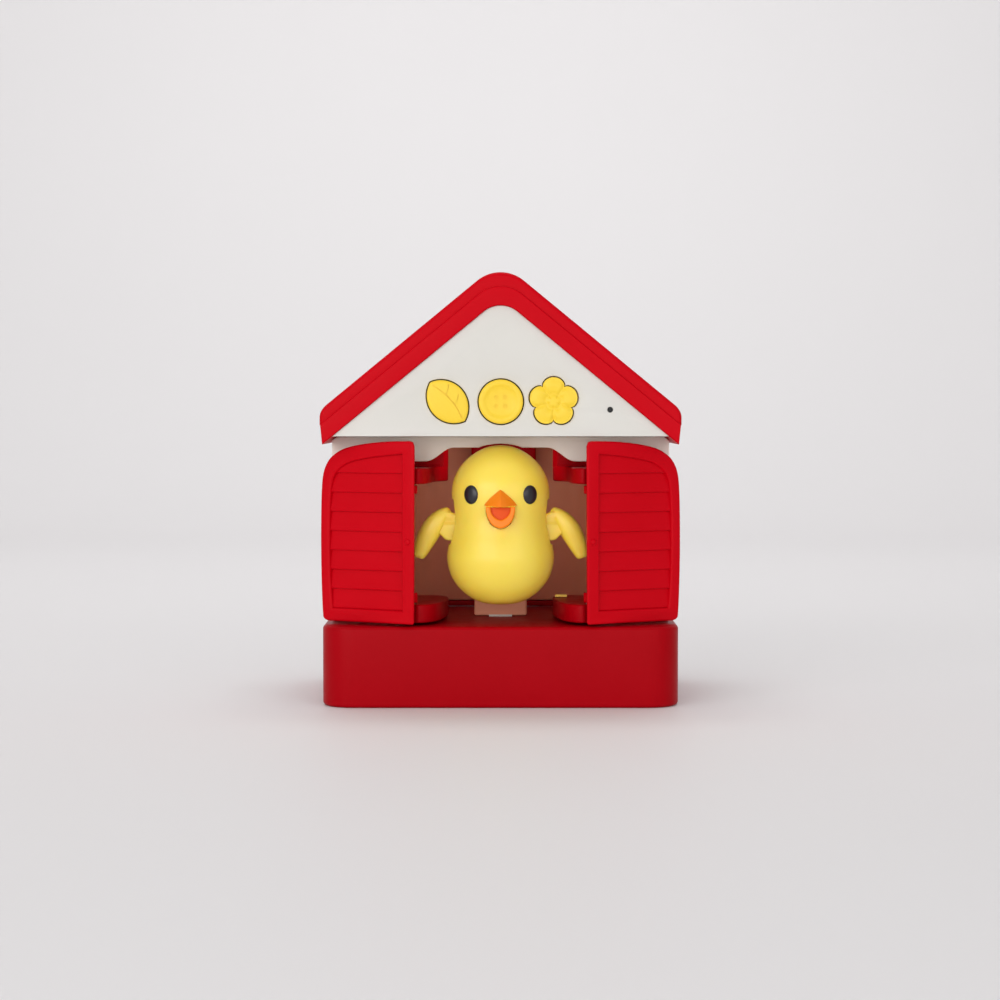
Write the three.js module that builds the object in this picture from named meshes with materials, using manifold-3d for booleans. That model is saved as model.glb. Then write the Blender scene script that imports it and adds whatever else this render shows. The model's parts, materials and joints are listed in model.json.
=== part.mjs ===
// Toy house with a pop-out chick: base, walls, gable roof, two swing-out shutters and their drive.
// Millimetres, +Z up, front towards -Y, origin at the centre of the base's underside.
import * as THREE from 'three';
import { mergeVertices } from 'three/addons/utils/BufferGeometryUtils.js';
import Module from 'manifold-3d';

const wasm = await Module();
wasm.setup();

// ---------- driving dimensions ----------
const GAP = 0.3;                 // standing gap between touching pieces
const WALL = 2.2;                // moulded wall thickness

const BASE_W = 130;
const BASE_D = 97;
const BASE_H = 29.5;
const BASE_CORNER = 12;
const BASE_FILLET = 1.6;
const BASE_WALL = 2.5;
const PAN_T = 2.5;
const DECK_UNDER = BASE_H - BASE_WALL;
const FRONT = -BASE_D / 2;

const BODY_HALF = 62.3;          // house walls, outside half width
const WALL_Y = FRONT + 22;       // front wall's outer face
const REAR_Y = BASE_D / 2 - 2;   // rear wall's outer face
const BODY_Z = BASE_H + GAP;
const SILL_Z = 98.3;             // underside of the gable panel

const ROOF_APEX = 161.3;         // where the two roof planes would meet
const ROOF_SLOPE = 0.8212;
const ROOF_HALF = 65.3;
const CAP_DROP = 5.4;            // vertical thickness of the outer layer
const ROOF_DROP = 13.1;          // vertical thickness of both layers
const RIDGE_FLAT = 9.5;          // half span of the rounded ridge
const INNER_FLAT = 7.6;          // the same under both layers

const NICHE_HALF = 37;
const NICHE_BACK = 38.5;
const NICHE_CORNER = 10;
const NICHE_TOP = 97;
const NICHE_T = 1.5;
const BOSS_R = 4;                // ceiling boss over each door arm's shaft

const TRAVEL = 36;               // how far the chick slides in
const CHICK_Y = -34.5;           // chick's axis when it is out
const CHICK_TOP = 95;
const CHICK_BOTTOM = 36.6;
const SHELL_T = 1.7;

const PIVOT = [29.5, -6.5];      // door arm's shaft, right side
const HINGE = [32.2, -40.6];     // shutter's pin when open, right side
const ARM_TURN = 47.2 * Math.PI / 180;
const SHUTTER_SLANT = 28.1 * Math.PI / 180;
const SHUTTER_CORNER = [31.2, -51.5];
const SHUTTER_T = 4.8;
const EDGE_LIP = 0.5;            // square part of the shutter's leading edge
const SHUTTER_LOW = 30.5;
const SHUTTER_HIGH = 96.6;
const SLATS = 8;
const LOW_ARM = [30.6, 37.2];
const HIGH_ARM = [81, 86.8];

const MODULE_MM = 0.8;
const PRESSURE = 20 * Math.PI / 180;
const BACKLASH = 0.3;
const OUTPUT_AT = [18, -2];
const MIDDLE_AT = [34.8, -2];
const MOTOR_AT = [49.6, -2];
const CRANK_R = 10;
const CRANK_ANGLE = 165 * Math.PI / 180;
const CARRIAGE_Z = [21.5, 23.5];
const CRANK_Z = [24.1, 26.5];

const BUTTON_Z = 110.8;
const BUTTON_FRONT = FRONT - 0.3;
const BUTTON_BACK = FRONT + 5;
const BUTTON_GAP = 0.4;
const PANEL_Y = [FRONT + 1.2, FRONT + 3.4];

// ---------- materials ----------
function plastic(color, roughness = 0.35) {
  return new THREE.MeshStandardMaterial({ color, roughness, metalness: 0 });
}
function metal(color, roughness = 0.35) {
  return new THREE.MeshStandardMaterial({ color, roughness, metalness: 1 });
}
const RED = plastic(0xc8101c);
const WHITE = plastic(0xe8e4dc);
const CHICK = plastic(0xf2d24a, 0.45);
const BUTTON = plastic(0xefcb35, 0.4);
const ORANGE = plastic(0xff8714, 0.4);
const MOUTH = plastic(0xd8480c, 0.45);
const BLACK = plastic(0x14141a, 0.25);
const GREY = plastic(0x5a5c60, 0.5);
const NYLON = plastic(0xe6e2d2, 0.5);
const BOARD = plastic(0x2f6b3c, 0.5);
const STEEL = metal(0xb8babd);
const BRASS = metal(0xc9a04a);
const CELL = plastic(0x3c5a78, 0.4);

// ---------- shape helpers ----------
function toSolid(geometry) {
  const bare = geometry.index ? geometry.toNonIndexed() : geometry.clone();
  bare.deleteAttribute('normal');
  bare.deleteAttribute('uv');
  const merged = mergeVertices(bare, 1e-4);
  return new wasm.Manifold(new wasm.Mesh({
    numProp: 3,
    vertProperties: new Float32Array(merged.attributes.position.array),
    triVerts: new Uint32Array(merged.index.array),
  }));
}

function toGeometry(solid) {
  const mesh = solid.getMesh();
  const geometry = new THREE.BufferGeometry();
  const points = [];
  for (let i = 0; i < mesh.vertProperties.length; i += mesh.numProp) {
    points.push(mesh.vertProperties[i], mesh.vertProperties[i + 1], mesh.vertProperties[i + 2]);
  }
  geometry.setAttribute('position', new THREE.Float32BufferAttribute(points, 3));
  geometry.setIndex(Array.from(mesh.triVerts));
  return geometry;
}

const group = new THREE.Group();
function place(name, solid, material) {
  const geometry = toGeometry(solid);
  geometry.computeVertexNormals();
  const mesh = new THREE.Mesh(geometry, material);
  mesh.name = name;
  group.add(mesh);
}

const join = (...solids) => solids.reduce((a, b) => a.add(b));
const cut = (solid, ...tools) => tools.reduce((a, b) => a.subtract(b), solid);

function box(x0, x1, y0, y1, z0, z1) {
  const geometry = new THREE.BoxGeometry(x1 - x0, y1 - y0, z1 - z0);
  geometry.translate((x0 + x1) / 2, (y0 + y1) / 2, (z0 + z1) / 2);
  return toSolid(geometry);
}

function toShape(points) {
  return new THREE.Shape(points.map(([a, b]) => new THREE.Vector2(a, b)));
}

const PLAIN_EXTRUDE = { bevelEnabled: false, curveSegments: 6 };

// A plan outline in X, Y raised from z0 to z1.
function slab(points, z0, z1) {
  const shape = points instanceof THREE.Shape ? points : toShape(points);
  const geometry = new THREE.ExtrudeGeometry(shape, { depth: z1 - z0, ...PLAIN_EXTRUDE });
  geometry.translate(0, 0, z0);
  return toSolid(geometry);
}

// A front outline in X, Z carried from y0 back to y1.
function frontal(points, y0, y1) {
  const shape = points instanceof THREE.Shape ? points : toShape(points);
  const geometry = new THREE.ExtrudeGeometry(shape, { depth: y1 - y0, ...PLAIN_EXTRUDE });
  geometry.rotateX(Math.PI / 2);
  geometry.translate(0, y1, 0);
  return toSolid(geometry);
}

function post(x, y, radius, z0, z1, sides = 14) {
  const geometry = new THREE.CylinderGeometry(radius, radius, z1 - z0, sides);
  geometry.rotateX(Math.PI / 2);
  geometry.translate(x, y, (z0 + z1) / 2);
  return toSolid(geometry);
}

function rodY(x, z, radius, y0, y1, sides = 14) {
  const geometry = new THREE.CylinderGeometry(radius, radius, y1 - y0, sides);
  geometry.translate(x, (y0 + y1) / 2, z);
  return toSolid(geometry);
}

function rodX(y, z, radius, x0, x1, sides = 14) {
  const geometry = new THREE.CylinderGeometry(radius, radius, x1 - x0, sides);
  geometry.rotateZ(Math.PI / 2);
  geometry.translate((x0 + x1) / 2, y, z);
  return toSolid(geometry);
}

function roundedRect(halfX, y0, y1, radius) {
  const shape = new THREE.Shape();
  shape.moveTo(-halfX + radius, y0);
  shape.lineTo(halfX - radius, y0);
  shape.absarc(halfX - radius, y0 + radius, radius, -Math.PI / 2, 0);
  shape.lineTo(halfX, y1 - radius);
  shape.absarc(halfX - radius, y1 - radius, radius, 0, Math.PI / 2);
  shape.lineTo(-halfX + radius, y1);
  shape.absarc(-halfX + radius, y1 - radius, radius, Math.PI / 2, Math.PI);
  shape.lineTo(-halfX, y0 + radius);
  shape.absarc(-halfX + radius, y0 + radius, radius, Math.PI, 1.5 * Math.PI);
  return shape;
}

const SIDES = [['left', -1], ['right', 1]];
const mirrored = (side, x) => side * x;
function mirrorPoints(points, side) {
  return side > 0 ? points : points.map(([x, y]) => [-x, y]).reverse();
}

// The two ends of a span on one side of the house, lowest first.
function sideSpan(side, near, far) {
  return [mirrored(side, near), mirrored(side, far)].sort((a, b) => a - b);
}

function counterClockwise(points) {
  const turned = points.map(([x, y]) => new THREE.Vector2(x, y));
  return THREE.ShapeUtils.isClockWise(turned) ? [...points].reverse() : points;
}

function screw(name, x, y, z0, length) {
  const head = post(x, y, 2.6, z0, z0 + 1.8, 16);
  const slot = join(box(x - 1.6, x + 1.6, y - 0.35, y + 0.35, z0 - 1, z0 + 0.8),
    box(x - 0.35, x + 0.35, y - 1.6, y + 1.6, z0 - 1, z0 + 0.8));
  place(name, cut(join(head, post(x, y, 1.2, z0 + 1.7, z0 + length, 12)), slot), STEEL);
}

// ---------- base ----------
const BASE_SCREWS = [[-54, -38], [54, -38], [-54, 38], [54, 38]];
const BATTERY = { x0: -46, x1: 2, y0: 16, y1: 42 };
const CELL_R = 5.2;
const CELL_LENGTH = 42;
const CELL_Z = 8.6;
const CELL_ROWS = [22.5, 35.5];
const SWITCH = { x: 30, z: 15 };
const DECK_SLOT = { half: 5, y0: -5.5, y1: 38.2 };

// The base's plan, drawn in all round.
function insetPlan(inset) {
  return roundedRect(BASE_W / 2 - inset, FRONT + inset, -FRONT - inset, BASE_CORNER - inset);
}

function buildBase() {
  const bevelled = new THREE.ExtrudeGeometry(insetPlan(BASE_FILLET), {
    depth: BASE_H + 4,
    bevelSize: BASE_FILLET,
    bevelThickness: BASE_FILLET,
    bevelSegments: 2,
    curveSegments: 6,
  });
  bevelled.translate(0, 0, -4 - BASE_FILLET);
  let housing = toSolid(bevelled).subtract(box(-90, 90, -70, 70, -20, 0));
  housing = cut(housing, slab(insetPlan(BASE_WALL), -1, DECK_UNDER),
    box(-DECK_SLOT.half, DECK_SLOT.half, DECK_SLOT.y0, DECK_SLOT.y1, 20, 40),
    box(SWITCH.x - 6, SWITCH.x + 6, 40, 60, SWITCH.z - 2.5, SWITCH.z + 2.5));
  for (const [, side] of SIDES) {
    housing = cut(housing, post(mirrored(side, PIVOT[0]), PIVOT[1], 2.1, 20, 40));
  }
  for (const [x, y] of BASE_SCREWS) {
    housing = join(housing, post(x, y, 3.2, PAN_T + 0.4, DECK_UNDER + 1, 16));
    housing = cut(housing, post(x, y, 1.5, 1, 14, 12));
  }
  place('base_housing', housing, RED);

  let pan = slab(insetPlan(BASE_WALL + GAP), 0, PAN_T);
  for (const [x, y] of BASE_SCREWS) {
    pan = cut(pan, post(x, y, 2.9, -1, 1.9, 16), post(x, y, 1.5, -1, 4, 12));
  }
  const b = BATTERY;
  pan = cut(pan, box(b.x0 + 1.5, b.x1 - 1.5, b.y0 + 1.5, b.y1 - 1.5, -1, 4),
    box(b.x0 - GAP, b.x1 + GAP, b.y0 - GAP, b.y1 + GAP, -1, 1.3));
  const rib = (x0, x1, y0, y1) => box(x0, x1, y0, y1, PAN_T - 0.2, 14.5);
  pan = join(pan, rib(b.x0, b.x1, b.y0 - 1.4, b.y0), rib(b.x0, b.x1, b.y1, b.y1 + 1.4),
    rib(b.x0 - 1.4, b.x0, b.y0 - 1.4, b.y1 + 1.4), rib(b.x1, b.x1 + 1.4, b.y0 - 1.4, b.y1 + 1.4));
  place('base_pan', pan, RED);

  const coverScrew = [b.x1 - 5, (b.y0 + b.y1) / 2];
  const lid = join(box(b.x0, b.x1, b.y0, b.y1, 0, 1.1),
    box(b.x0 + 1.9, b.x1 - 1.9, b.y0 + 1.9, b.y1 - 1.9, 1, 2.3));
  const screwWell = join(post(...coverScrew, 1.5, -1, 4, 12), post(...coverScrew, 2.9, -1, 2, 16));
  place('battery_cover', cut(lid, screwWell), RED);
  screw('battery_cover_screw', ...coverScrew, 0.1, 6);

  CELL_ROWS.forEach((y, row) => {
    const turn = row ? -1 : 1;
    const x0 = b.x0 + 1.6;
    const body = rodX(y, CELL_Z, CELL_R, x0 + 1, x0 + CELL_LENGTH - 1, 24);
    const nubX = turn > 0 ? x0 + CELL_LENGTH - 1.2 : x0;
    place(`battery_cell_${row + 1}`, join(body, rodX(y, CELL_Z, 1.8, nubX, nubX + 1.2, 12)), CELL);
  });
  place('battery_link_plate', box(b.x0 + 0.5, b.x0 + 1, CELL_ROWS[0] - 4, CELL_ROWS[1] + 4, 4, 13.5), STEEL);
  BASE_SCREWS.forEach(([x, y], i) => screw(`base_screw_${i + 1}`, x, y, 0.05, 10));

  const knob = join(box(SWITCH.x - 5, SWITCH.x, 43, 45.5, SWITCH.z - 4, SWITCH.z + 4),
    box(SWITCH.x - 4, SWITCH.x - 1, 45.4, 48.9, SWITCH.z - 1.8, SWITCH.z + 1.8));
  place('power_switch', knob, BLACK);
}

// ---------- house ----------
function roofLine(x, drop) {
  return ROOF_APEX - drop - ROOF_SLOPE * Math.abs(x);
}

// Points along one roof layer line, left to right, with the ridge rounded off.
function ridgeLine(half, drop, flat) {
  const points = [[-half, roofLine(half, drop)]];
  const steps = 8;
  for (let i = 0; i <= steps; i += 1) {
    const x = -flat + (2 * flat * i) / steps;
    const rise = ROOF_SLOPE * (flat / 2 - (x * x) / (2 * flat));
    points.push([x, roofLine(flat, drop) + rise]);
  }
  points.push([half, roofLine(half, drop)]);
  return points;
}

function roofBand(halfOuter, dropOuter, halfInner, dropInner, y0, y1) {
  const upper = ridgeLine(halfOuter, dropOuter, RIDGE_FLAT);
  const lower = ridgeLine(halfInner, dropInner, INNER_FLAT).reverse();
  return frontal([...upper, ...lower].reverse(), y0, y1);
}

const VALANCE_LOW = 88.8;

// Right half of the curved edge over the doorway, from its middle outwards.
function valancePoints() {
  const high = 93.9;
  const steps = 8;
  const points = [[0, 95.4], [3, 95.2], [6, 94.7], [7.4, 94.3], [8.6, high]];
  for (let i = 0; i <= steps; i += 1) {
    const t = i / steps;
    points.push([17 + 10.5 * t, high - (high - VALANCE_LOW) * (0.5 - 0.5 * Math.cos(Math.PI * t))]);
  }
  return points;
}

const SPEAKER_Z = 119;

function buildHouse() {
  const cap = roofBand(ROOF_HALF, 0, ROOF_HALF, CAP_DROP - GAP / 2, FRONT + 0.7, -FRONT - 0.7);
  place('roof_cap', cap, RED);
  const trim = roofBand(ROOF_HALF - 0.3, CAP_DROP + GAP / 2, ROOF_HALF - 1, ROOF_DROP, FRONT, -FRONT);
  place('roof_trim', trim, RED);

  const right = valancePoints();
  const left = right.slice(1).map(([x, z]) => [-x, z]).reverse();
  const opening = [[-NICHE_HALF, BODY_Z - 2], [NICHE_HALF, BODY_Z - 2], [NICHE_HALF, VALANCE_LOW],
    ...right.reverse(), ...left.reverse(), [-NICHE_HALF, VALANCE_LOW]];
  const eave = roofLine(BODY_HALF, ROOF_DROP) - 0.6;
  const wallFace = [[-BODY_HALF, BODY_Z], [BODY_HALF, BODY_Z], [BODY_HALF, eave],
    [BODY_HALF - 2, SILL_Z - GAP], [2 - BODY_HALF, SILL_Z - GAP], [-BODY_HALF, eave]];
  const wall = cut(frontal(wallFace, WALL_Y, WALL_Y + WALL), frontal(opening, WALL_Y - 2, WALL_Y + 6));
  place('front_wall', wall, WHITE);

  const shellY = WALL_Y + WALL + GAP;
  const outer = box(-BODY_HALF, BODY_HALF, shellY, REAR_Y, BODY_Z, eave);
  const inner = box(-BODY_HALF + WALL, BODY_HALF - WALL, shellY - 1, REAR_Y - WALL, BODY_Z - 1, eave + 1);
  const gable = [[-BODY_HALF, eave - 4], [BODY_HALF, eave - 4],
    ...ridgeLine(BODY_HALF, ROOF_DROP + 0.6, INNER_FLAT).reverse()];
  let shell = join(cut(outer, inner), frontal(gable, REAR_Y - WALL, REAR_Y));
  for (let row = -2; row <= 2; row += 1) {
    const half = 14 - 1.6 * row * row;
    const z = SPEAKER_Z + row * 4.5;
    shell = cut(shell, box(-half, half, REAR_Y - 4, REAR_Y + 1, z - 0.9, z + 0.9));
  }
  place('house_shell', shell, WHITE);

  const linerFront = WALL_Y + WALL + GAP;
  const open = roundedRect(NICHE_HALF, linerFront - 30, NICHE_BACK, NICHE_CORNER);
  const t = NICHE_T;
  const out = roundedRect(NICHE_HALF + t, linerFront - 30, NICHE_BACK + t, NICHE_CORNER + t);
  const front = box(-60, 60, -80, linerFront, 0, 120);
  let liner = cut(slab(out, BODY_Z + 2.4, NICHE_TOP + NICHE_T), slab(open, 0, NICHE_TOP));
  for (const [, side] of SIDES) {
    const x = mirrored(side, PIVOT[0]);
    liner = join(liner, post(x, PIVOT[1], BOSS_R, HIGH_ARM[1] + 0.5, NICHE_TOP + 0.5));
    liner = cut(liner, post(x, PIVOT[1], 1.7, 80, 120, 16));
  }
  place('niche_liner', cut(liner, front), WHITE);
  place('rear_kerb', cut(slab(out, BODY_Z, BODY_Z + 2.1), slab(open, 0, 60), front), RED);
  place('ceiling_bracket', box(-11.4, 13.8, 24, 30, 82, NICHE_TOP - GAP), RED);

  const edge = ROOF_DROP + 0.5;
  const bottomHalf = (ROOF_APEX - edge - SILL_Z) / ROOF_SLOPE;
  const face = [[-bottomHalf, SILL_Z], [bottomHalf, SILL_Z],
    ...ridgeLine(bottomHalf, edge, INNER_FLAT).slice(1, -1).reverse()];
  let panel = frontal(face, PANEL_Y[0], PANEL_Y[1]);
  const soffitHalf = BODY_HALF - 3;
  panel = join(panel, box(-soffitHalf, soffitHalf, PANEL_Y[1] - 0.5, WALL_Y + WALL, SILL_Z, SILL_Z + 1.6));
  const underRoof = [[-bottomHalf, SILL_Z], [bottomHalf, SILL_Z], [0, ROOF_APEX - edge]];
  panel = panel.intersect(frontal(underRoof, -80, 80));
  for (const [outline] of buttonOutlines(BUTTON_GAP)) {
    panel = cut(panel, frontal(outline, -60, PANEL_Y[1] + 1));
  }
  place('gable_panel', cut(panel, rodY(MIC.x, MIC.z, 1.05, -60, -40, 16)), WHITE);
}

// ---------- buttons and boards ----------
const MIC = { x: 39.5, z: 107.9 };
const BOARD_Y = [FRONT + 10.8, FRONT + 12.4];
const LEAF_X = -19.1;
const DISC_X = 0.1;
const FLOWER_X = 19.1;

function leafOutline(grow) {
  const tip = [-6 - grow * 0.8, 6.9 + grow * 0.8];
  const tail = [6.3 + grow * 0.8, -7.1 - grow * 0.8];
  const at = ([x, z]) => new THREE.Vector2(LEAF_X + x, BUTTON_Z + z);
  const edges = [
    new THREE.CubicBezierCurve(at(tip), at([-9.4 - grow, -2.5]), at([-5, -9.3 - grow]), at(tail)),
    new THREE.CubicBezierCurve(at(tail), at([9.4 + grow, 2.5]), at([5, 9.3 + grow]), at(tip)),
  ];
  return edges.flatMap((edge) => edge.getPoints(6).slice(0, -1)).map((p) => [p.x, p.y]);
}

function discOutline(grow) {
  const shape = new THREE.Shape();
  shape.absarc(DISC_X, BUTTON_Z, 8 + grow, 0, 2 * Math.PI);
  return shape;
}

function flowerOutline(grow) {
  const points = [];
  const steps = 30;
  for (let i = 0; i < steps; i += 1) {
    const a = (2 * Math.PI * i) / steps;
    const lobe = Math.abs(Math.cos(2.5 * (a - Math.PI / 2)));
    const r = 6.6 + 2.3 * Math.pow(lobe, 0.7) + grow;
    points.push([FLOWER_X + r * Math.cos(a), BUTTON_Z + r * Math.sin(a)]);
  }
  return points;
}

function buttonOutlines(grow) {
  return [
    [leafOutline(grow), 'leaf', LEAF_X],
    [discOutline(grow), 'disc', DISC_X],
    [flowerOutline(grow), 'flower', FLOWER_X],
  ];
}

function buildControls() {
  for (const [outline, name, x] of buttonOutlines(0)) {
    const cap = frontal(outline, BUTTON_FRONT, BUTTON_BACK - 2);
    place(`${name}_button`, join(cap, rodY(x, BUTTON_Z, 2, BUTTON_BACK - 2.1, BUTTON_BACK, 12)), BUTTON);
    const body = box(x - 3, x + 3, FRONT + 8, BOARD_Y[0] - GAP, BUTTON_Z - 3, BUTTON_Z + 3);
    place(`${name}_switch`, join(body, rodY(x, BUTTON_Z, 1.5, FRONT + 6.9, FRONT + 8.1, 12)), GREY);
  }
  const board = join(box(-27, 27, ...BOARD_Y, 102, 119), box(26, 45, ...BOARD_Y, 102, 110.4));
  place('control_board', board, BOARD);
  place('microphone', rodY(MIC.x, MIC.z, 3, PANEL_Y[1] + 0.4, BOARD_Y[0] - GAP), STEEL);
  const coneY = REAR_Y - WALL - 0.5;
  const speaker = join(rodY(0, SPEAKER_Z, 15, coneY - 3, coneY, 28),
    rodY(0, SPEAKER_Z, 8, coneY - 9, coneY - 2.9, 24));
  place('speaker', speaker, GREY);
}

// ---------- gears, carriage and motor ----------
function gearOutline([cx, cy], teeth, phase) {
  const pitchR = MODULE_MM * teeth / 2;
  const baseR = pitchR * Math.cos(PRESSURE);
  const tipR = pitchR + 0.85 * MODULE_MM;
  const rootR = pitchR - 1.25 * MODULE_MM;
  const inv = (a) => Math.tan(a) - a;
  const halfAt = (r) => {
    const a = Math.acos(Math.min(1, baseR / Math.max(r, baseR)));
    return Math.PI / (2 * teeth) - BACKLASH / (2 * pitchR) + inv(PRESSURE) - inv(a);
  };
  const radii = [rootR, Math.max(baseR, rootR + 0.1), pitchR, tipR];
  const points = [];
  for (let k = 0; k < teeth; k += 1) {
    const mid = phase + (2 * Math.PI * k) / teeth;
    const add = (r, angle) => points.push([cx + r * Math.cos(angle), cy + r * Math.sin(angle)]);
    for (const r of radii) {
      add(r, mid - halfAt(r));
    }
    for (const r of [...radii].reverse()) {
      add(r, mid + halfAt(r));
    }
  }
  return points;
}

const RACK_Z = [15.5, 21.6];
const OUTPUT_WHEEL_Z = [11.5, 15];
const MIDDLE_WHEEL_Z = [7.6, 11];

function rackOutline() {
  const pitch = Math.PI * MODULE_MM;
  const line = OUTPUT_AT[0] - MODULE_MM * 15 / 2;
  const first = -17;
  const last = 2;
  const back = line - 4;
  const points = [[back, OUTPUT_AT[1] + (last + 0.5) * pitch], [back, OUTPUT_AT[1] + (first - 0.5) * pitch]];
  for (let k = first; k <= last; k += 1) {
    const y = OUTPUT_AT[1] + k * pitch;
    const half = pitch / 4 - BACKLASH / 2;
    const slope = Math.tan(PRESSURE);
    const root = 1.25 * MODULE_MM;
    const tip = 0.85 * MODULE_MM;
    points.push([line - root, y - half - root * slope], [line + tip, y - half + tip * slope]);
    points.push([line + tip, y + half - tip * slope], [line - root, y + half + root * slope]);
  }
  return points;
}

// The cam track that a crank peg follows in the sliding plate.
function camTrack(side) {
  const steps = 10;
  const radius = 2.1;
  const pieces = [];
  for (let i = 0; i <= steps; i += 1) {
    const t = i / steps;
    const a = CRANK_ANGLE - ARM_TURN * t;
    const x = mirrored(side, PIVOT[0] + CRANK_R * Math.cos(a));
    const y = PIVOT[1] + CRANK_R * Math.sin(a) - TRAVEL * t;
    pieces.push([x, y]);
  }
  let track = post(pieces[0][0], pieces[0][1], radius, 18, 27, 16);
  for (let i = 1; i <= steps; i += 1) {
    const [xa, ya] = pieces[i - 1];
    const [xb, yb] = pieces[i];
    const length = Math.hypot(xb - xa, yb - ya);
    const nx = -(yb - ya) / length * radius;
    const ny = (xb - xa) / length * radius;
    const quad = [[xa + nx, ya + ny], [xb + nx, yb + ny], [xb - nx, yb - ny], [xa - nx, ya - ny]];
    track = join(track, slab(counterClockwise(quad), 18, 27), post(xb, yb, radius, 18, 27, 16));
  }
  return track;
}

const POST_Y = [-5, 1];

function buildDrive() {
  let plate = box(-24.5, 24.5, -45.3, 3, CARRIAGE_Z[0], CARRIAGE_Z[1]);
  plate = cut(plate, camTrack(-1), camTrack(1));
  const foot = box(-4.4, 4.4, POST_Y[0], 0.6, CARRIAGE_Z[1] - 0.5, BASE_H + 0.7);
  const rack = slab(rackOutline().reverse(), RACK_Z[0], RACK_Z[1]);
  place('carriage', join(plate, foot, rack), NYLON);

  const outputPinion = gearOutline(OUTPUT_AT, 15, Math.PI + Math.PI / 15);
  const output = join(slab(outputPinion, OUTPUT_WHEEL_Z[1] - 0.2, RACK_Z[1] - 0.5),
    slab(gearOutline(OUTPUT_AT, 30, 0), ...OUTPUT_WHEEL_Z));
  place('output_gear', cut(output, post(...OUTPUT_AT, 1.3, 0, 40, 16)), NYLON);
  const middlePinion = gearOutline(MIDDLE_AT, 12, Math.PI + Math.PI / 12);
  const middle = join(slab(middlePinion, MIDDLE_WHEEL_Z[1] - 0.2, OUTPUT_WHEEL_Z[1]),
    slab(gearOutline(MIDDLE_AT, 25, 0), ...MIDDLE_WHEEL_Z));
  place('middle_gear', cut(middle, post(...MIDDLE_AT, 1.3, 0, 40, 16)), NYLON);
  const pinion = slab(gearOutline(MOTOR_AT, 12, Math.PI + Math.PI / 12), ...MIDDLE_WHEEL_Z);
  place('motor_pinion', cut(pinion, post(...MOTOR_AT, 1.02, 0, 40, 16)), BRASS);
  const motor = join(post(...MOTOR_AT, 8, 12, DECK_UNDER - GAP, 28), post(...MOTOR_AT, 0.95, 7.3, 12.1, 12));
  place('drive_motor', motor, STEEL);

  const feet = [[14, -12], [14, 8], [50, -12], [50, 8]].map(([x, y]) => post(x, y, 2, PAN_T + GAP, 4.5));
  const spindles = [post(...OUTPUT_AT, 1.2, 6.3, RACK_Z[1] - 0.7, 16),
    post(...MIDDLE_AT, 1.2, 6.3, OUTPUT_WHEEL_Z[1] + 0.6, 16)];
  const floor = box(10, 58, -14, 10, 4.4, 6.4);
  const flange = box(55.9, 58, -14, 10, 6.3, 11.5);
  place('gear_frame', join(floor, flange, ...feet, ...spindles), GREY);

  const column = box(-10, 10, ...POST_Y, BASE_H + 1, 72);
  const hollow = box(-7.8, 7.8, POST_Y[0] + WALL, POST_Y[1] + 1, BASE_H + 3.2, 69.5);
  place('chick_post', cut(column, hollow), WHITE);
}

// ---------- doors ----------
// Inner edge of a door arm's plate, from the shutter end back to the shaft, right side.
const LOW_EDGE = [[29.8, -45.4], [26.9, -44], [24, -40.2], [22, -33.6], [20.6, -25], [19.9, -18],
  [19.7, -11]];
const HIGH_EDGE = [[29.8, -45.4], [26.9, -42.5], [25.6, -37], [25.1, -30], [24.5, -22], [23, -15.5],
  [20.4, -10]];

// Its head, round the shutter's pin.
const ARM_HEAD = [[35.4, -40.4], [35, -42.2], [33.6, -43.4], [32.2, -43.7]];
const HEEL_WIDE = 9.8;
const HEEL_SLIM = 6.9;

// The arm's rounded heel behind its shaft, wide towards the doorway and slim beside the niche wall.
function heelPoints() {
  const points = [];
  const steps = 8;
  for (let i = 0; i <= steps; i += 1) {
    const angle = Math.PI * (1 - i / steps);
    const radius = HEEL_WIDE - (HEEL_WIDE - HEEL_SLIM) * Math.min(1, (2 * i) / steps);
    points.push([PIVOT[0] + radius * Math.cos(angle), PIVOT[1] + radius * Math.sin(angle)]);
  }
  return points;
}

function armPlate(side, edge, [z0, z1]) {
  return slab(mirrorPoints([...ARM_HEAD, ...edge, ...heelPoints()].reverse(), side), z0, z1);
}

// The tall hub that carries the upper plate up to the niche's ceiling, open round the ceiling's boss.
function armHub(side) {
  const plan = mirrorPoints([[35.9, -12], [21.4, -12], ...heelPoints()].reverse(), side);
  const well = post(mirrored(side, PIVOT[0]), PIVOT[1], BOSS_R + 0.5, HIGH_ARM[1], NICHE_TOP);
  return cut(slab(plan, HIGH_ARM[1] - 0.5, NICHE_TOP - 0.5), well);
}

function shutterOutline() {
  const shape = new THREE.Shape();
  shape.moveTo(0.3, SHUTTER_LOW);
  shape.lineTo(36.2, SHUTTER_LOW);
  shape.quadraticCurveTo(38.7, SHUTTER_LOW, 38.9, SHUTTER_LOW + 3);
  shape.quadraticCurveTo(39.9, 57, 39.3, 79);
  shape.bezierCurveTo(39, 90.5, 35, 93.6, 26, 94.9);
  shape.quadraticCurveTo(14, 96.6, 2, SHUTTER_HIGH);
  shape.quadraticCurveTo(0, SHUTTER_HIGH, 0, SHUTTER_HIGH - 2);
  shape.lineTo(0, SHUTTER_LOW + 0.3);
  return shape;
}

const PANEL_U = 5;               // the louvred panel's edge nearest the middle
const PANEL_LOW = 35.2;
const PANEL_HIGH = 91.9;

function panelOutline() {
  const shape = new THREE.Shape();
  shape.moveTo(PANEL_U, PANEL_LOW);
  shape.lineTo(34.6, PANEL_LOW);
  shape.quadraticCurveTo(35.9, 57, 35.4, 76);
  shape.bezierCurveTo(35.2, 86, 32.5, 88.6, 26, 89.8);
  shape.quadraticCurveTo(14, PANEL_HIGH, PANEL_U, PANEL_HIGH);
  return shape;
}

const KNUCKLES = [[LOW_ARM[1] + 0.6, 47], [75.5, HIGH_ARM[0] - 0.6]];

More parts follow.
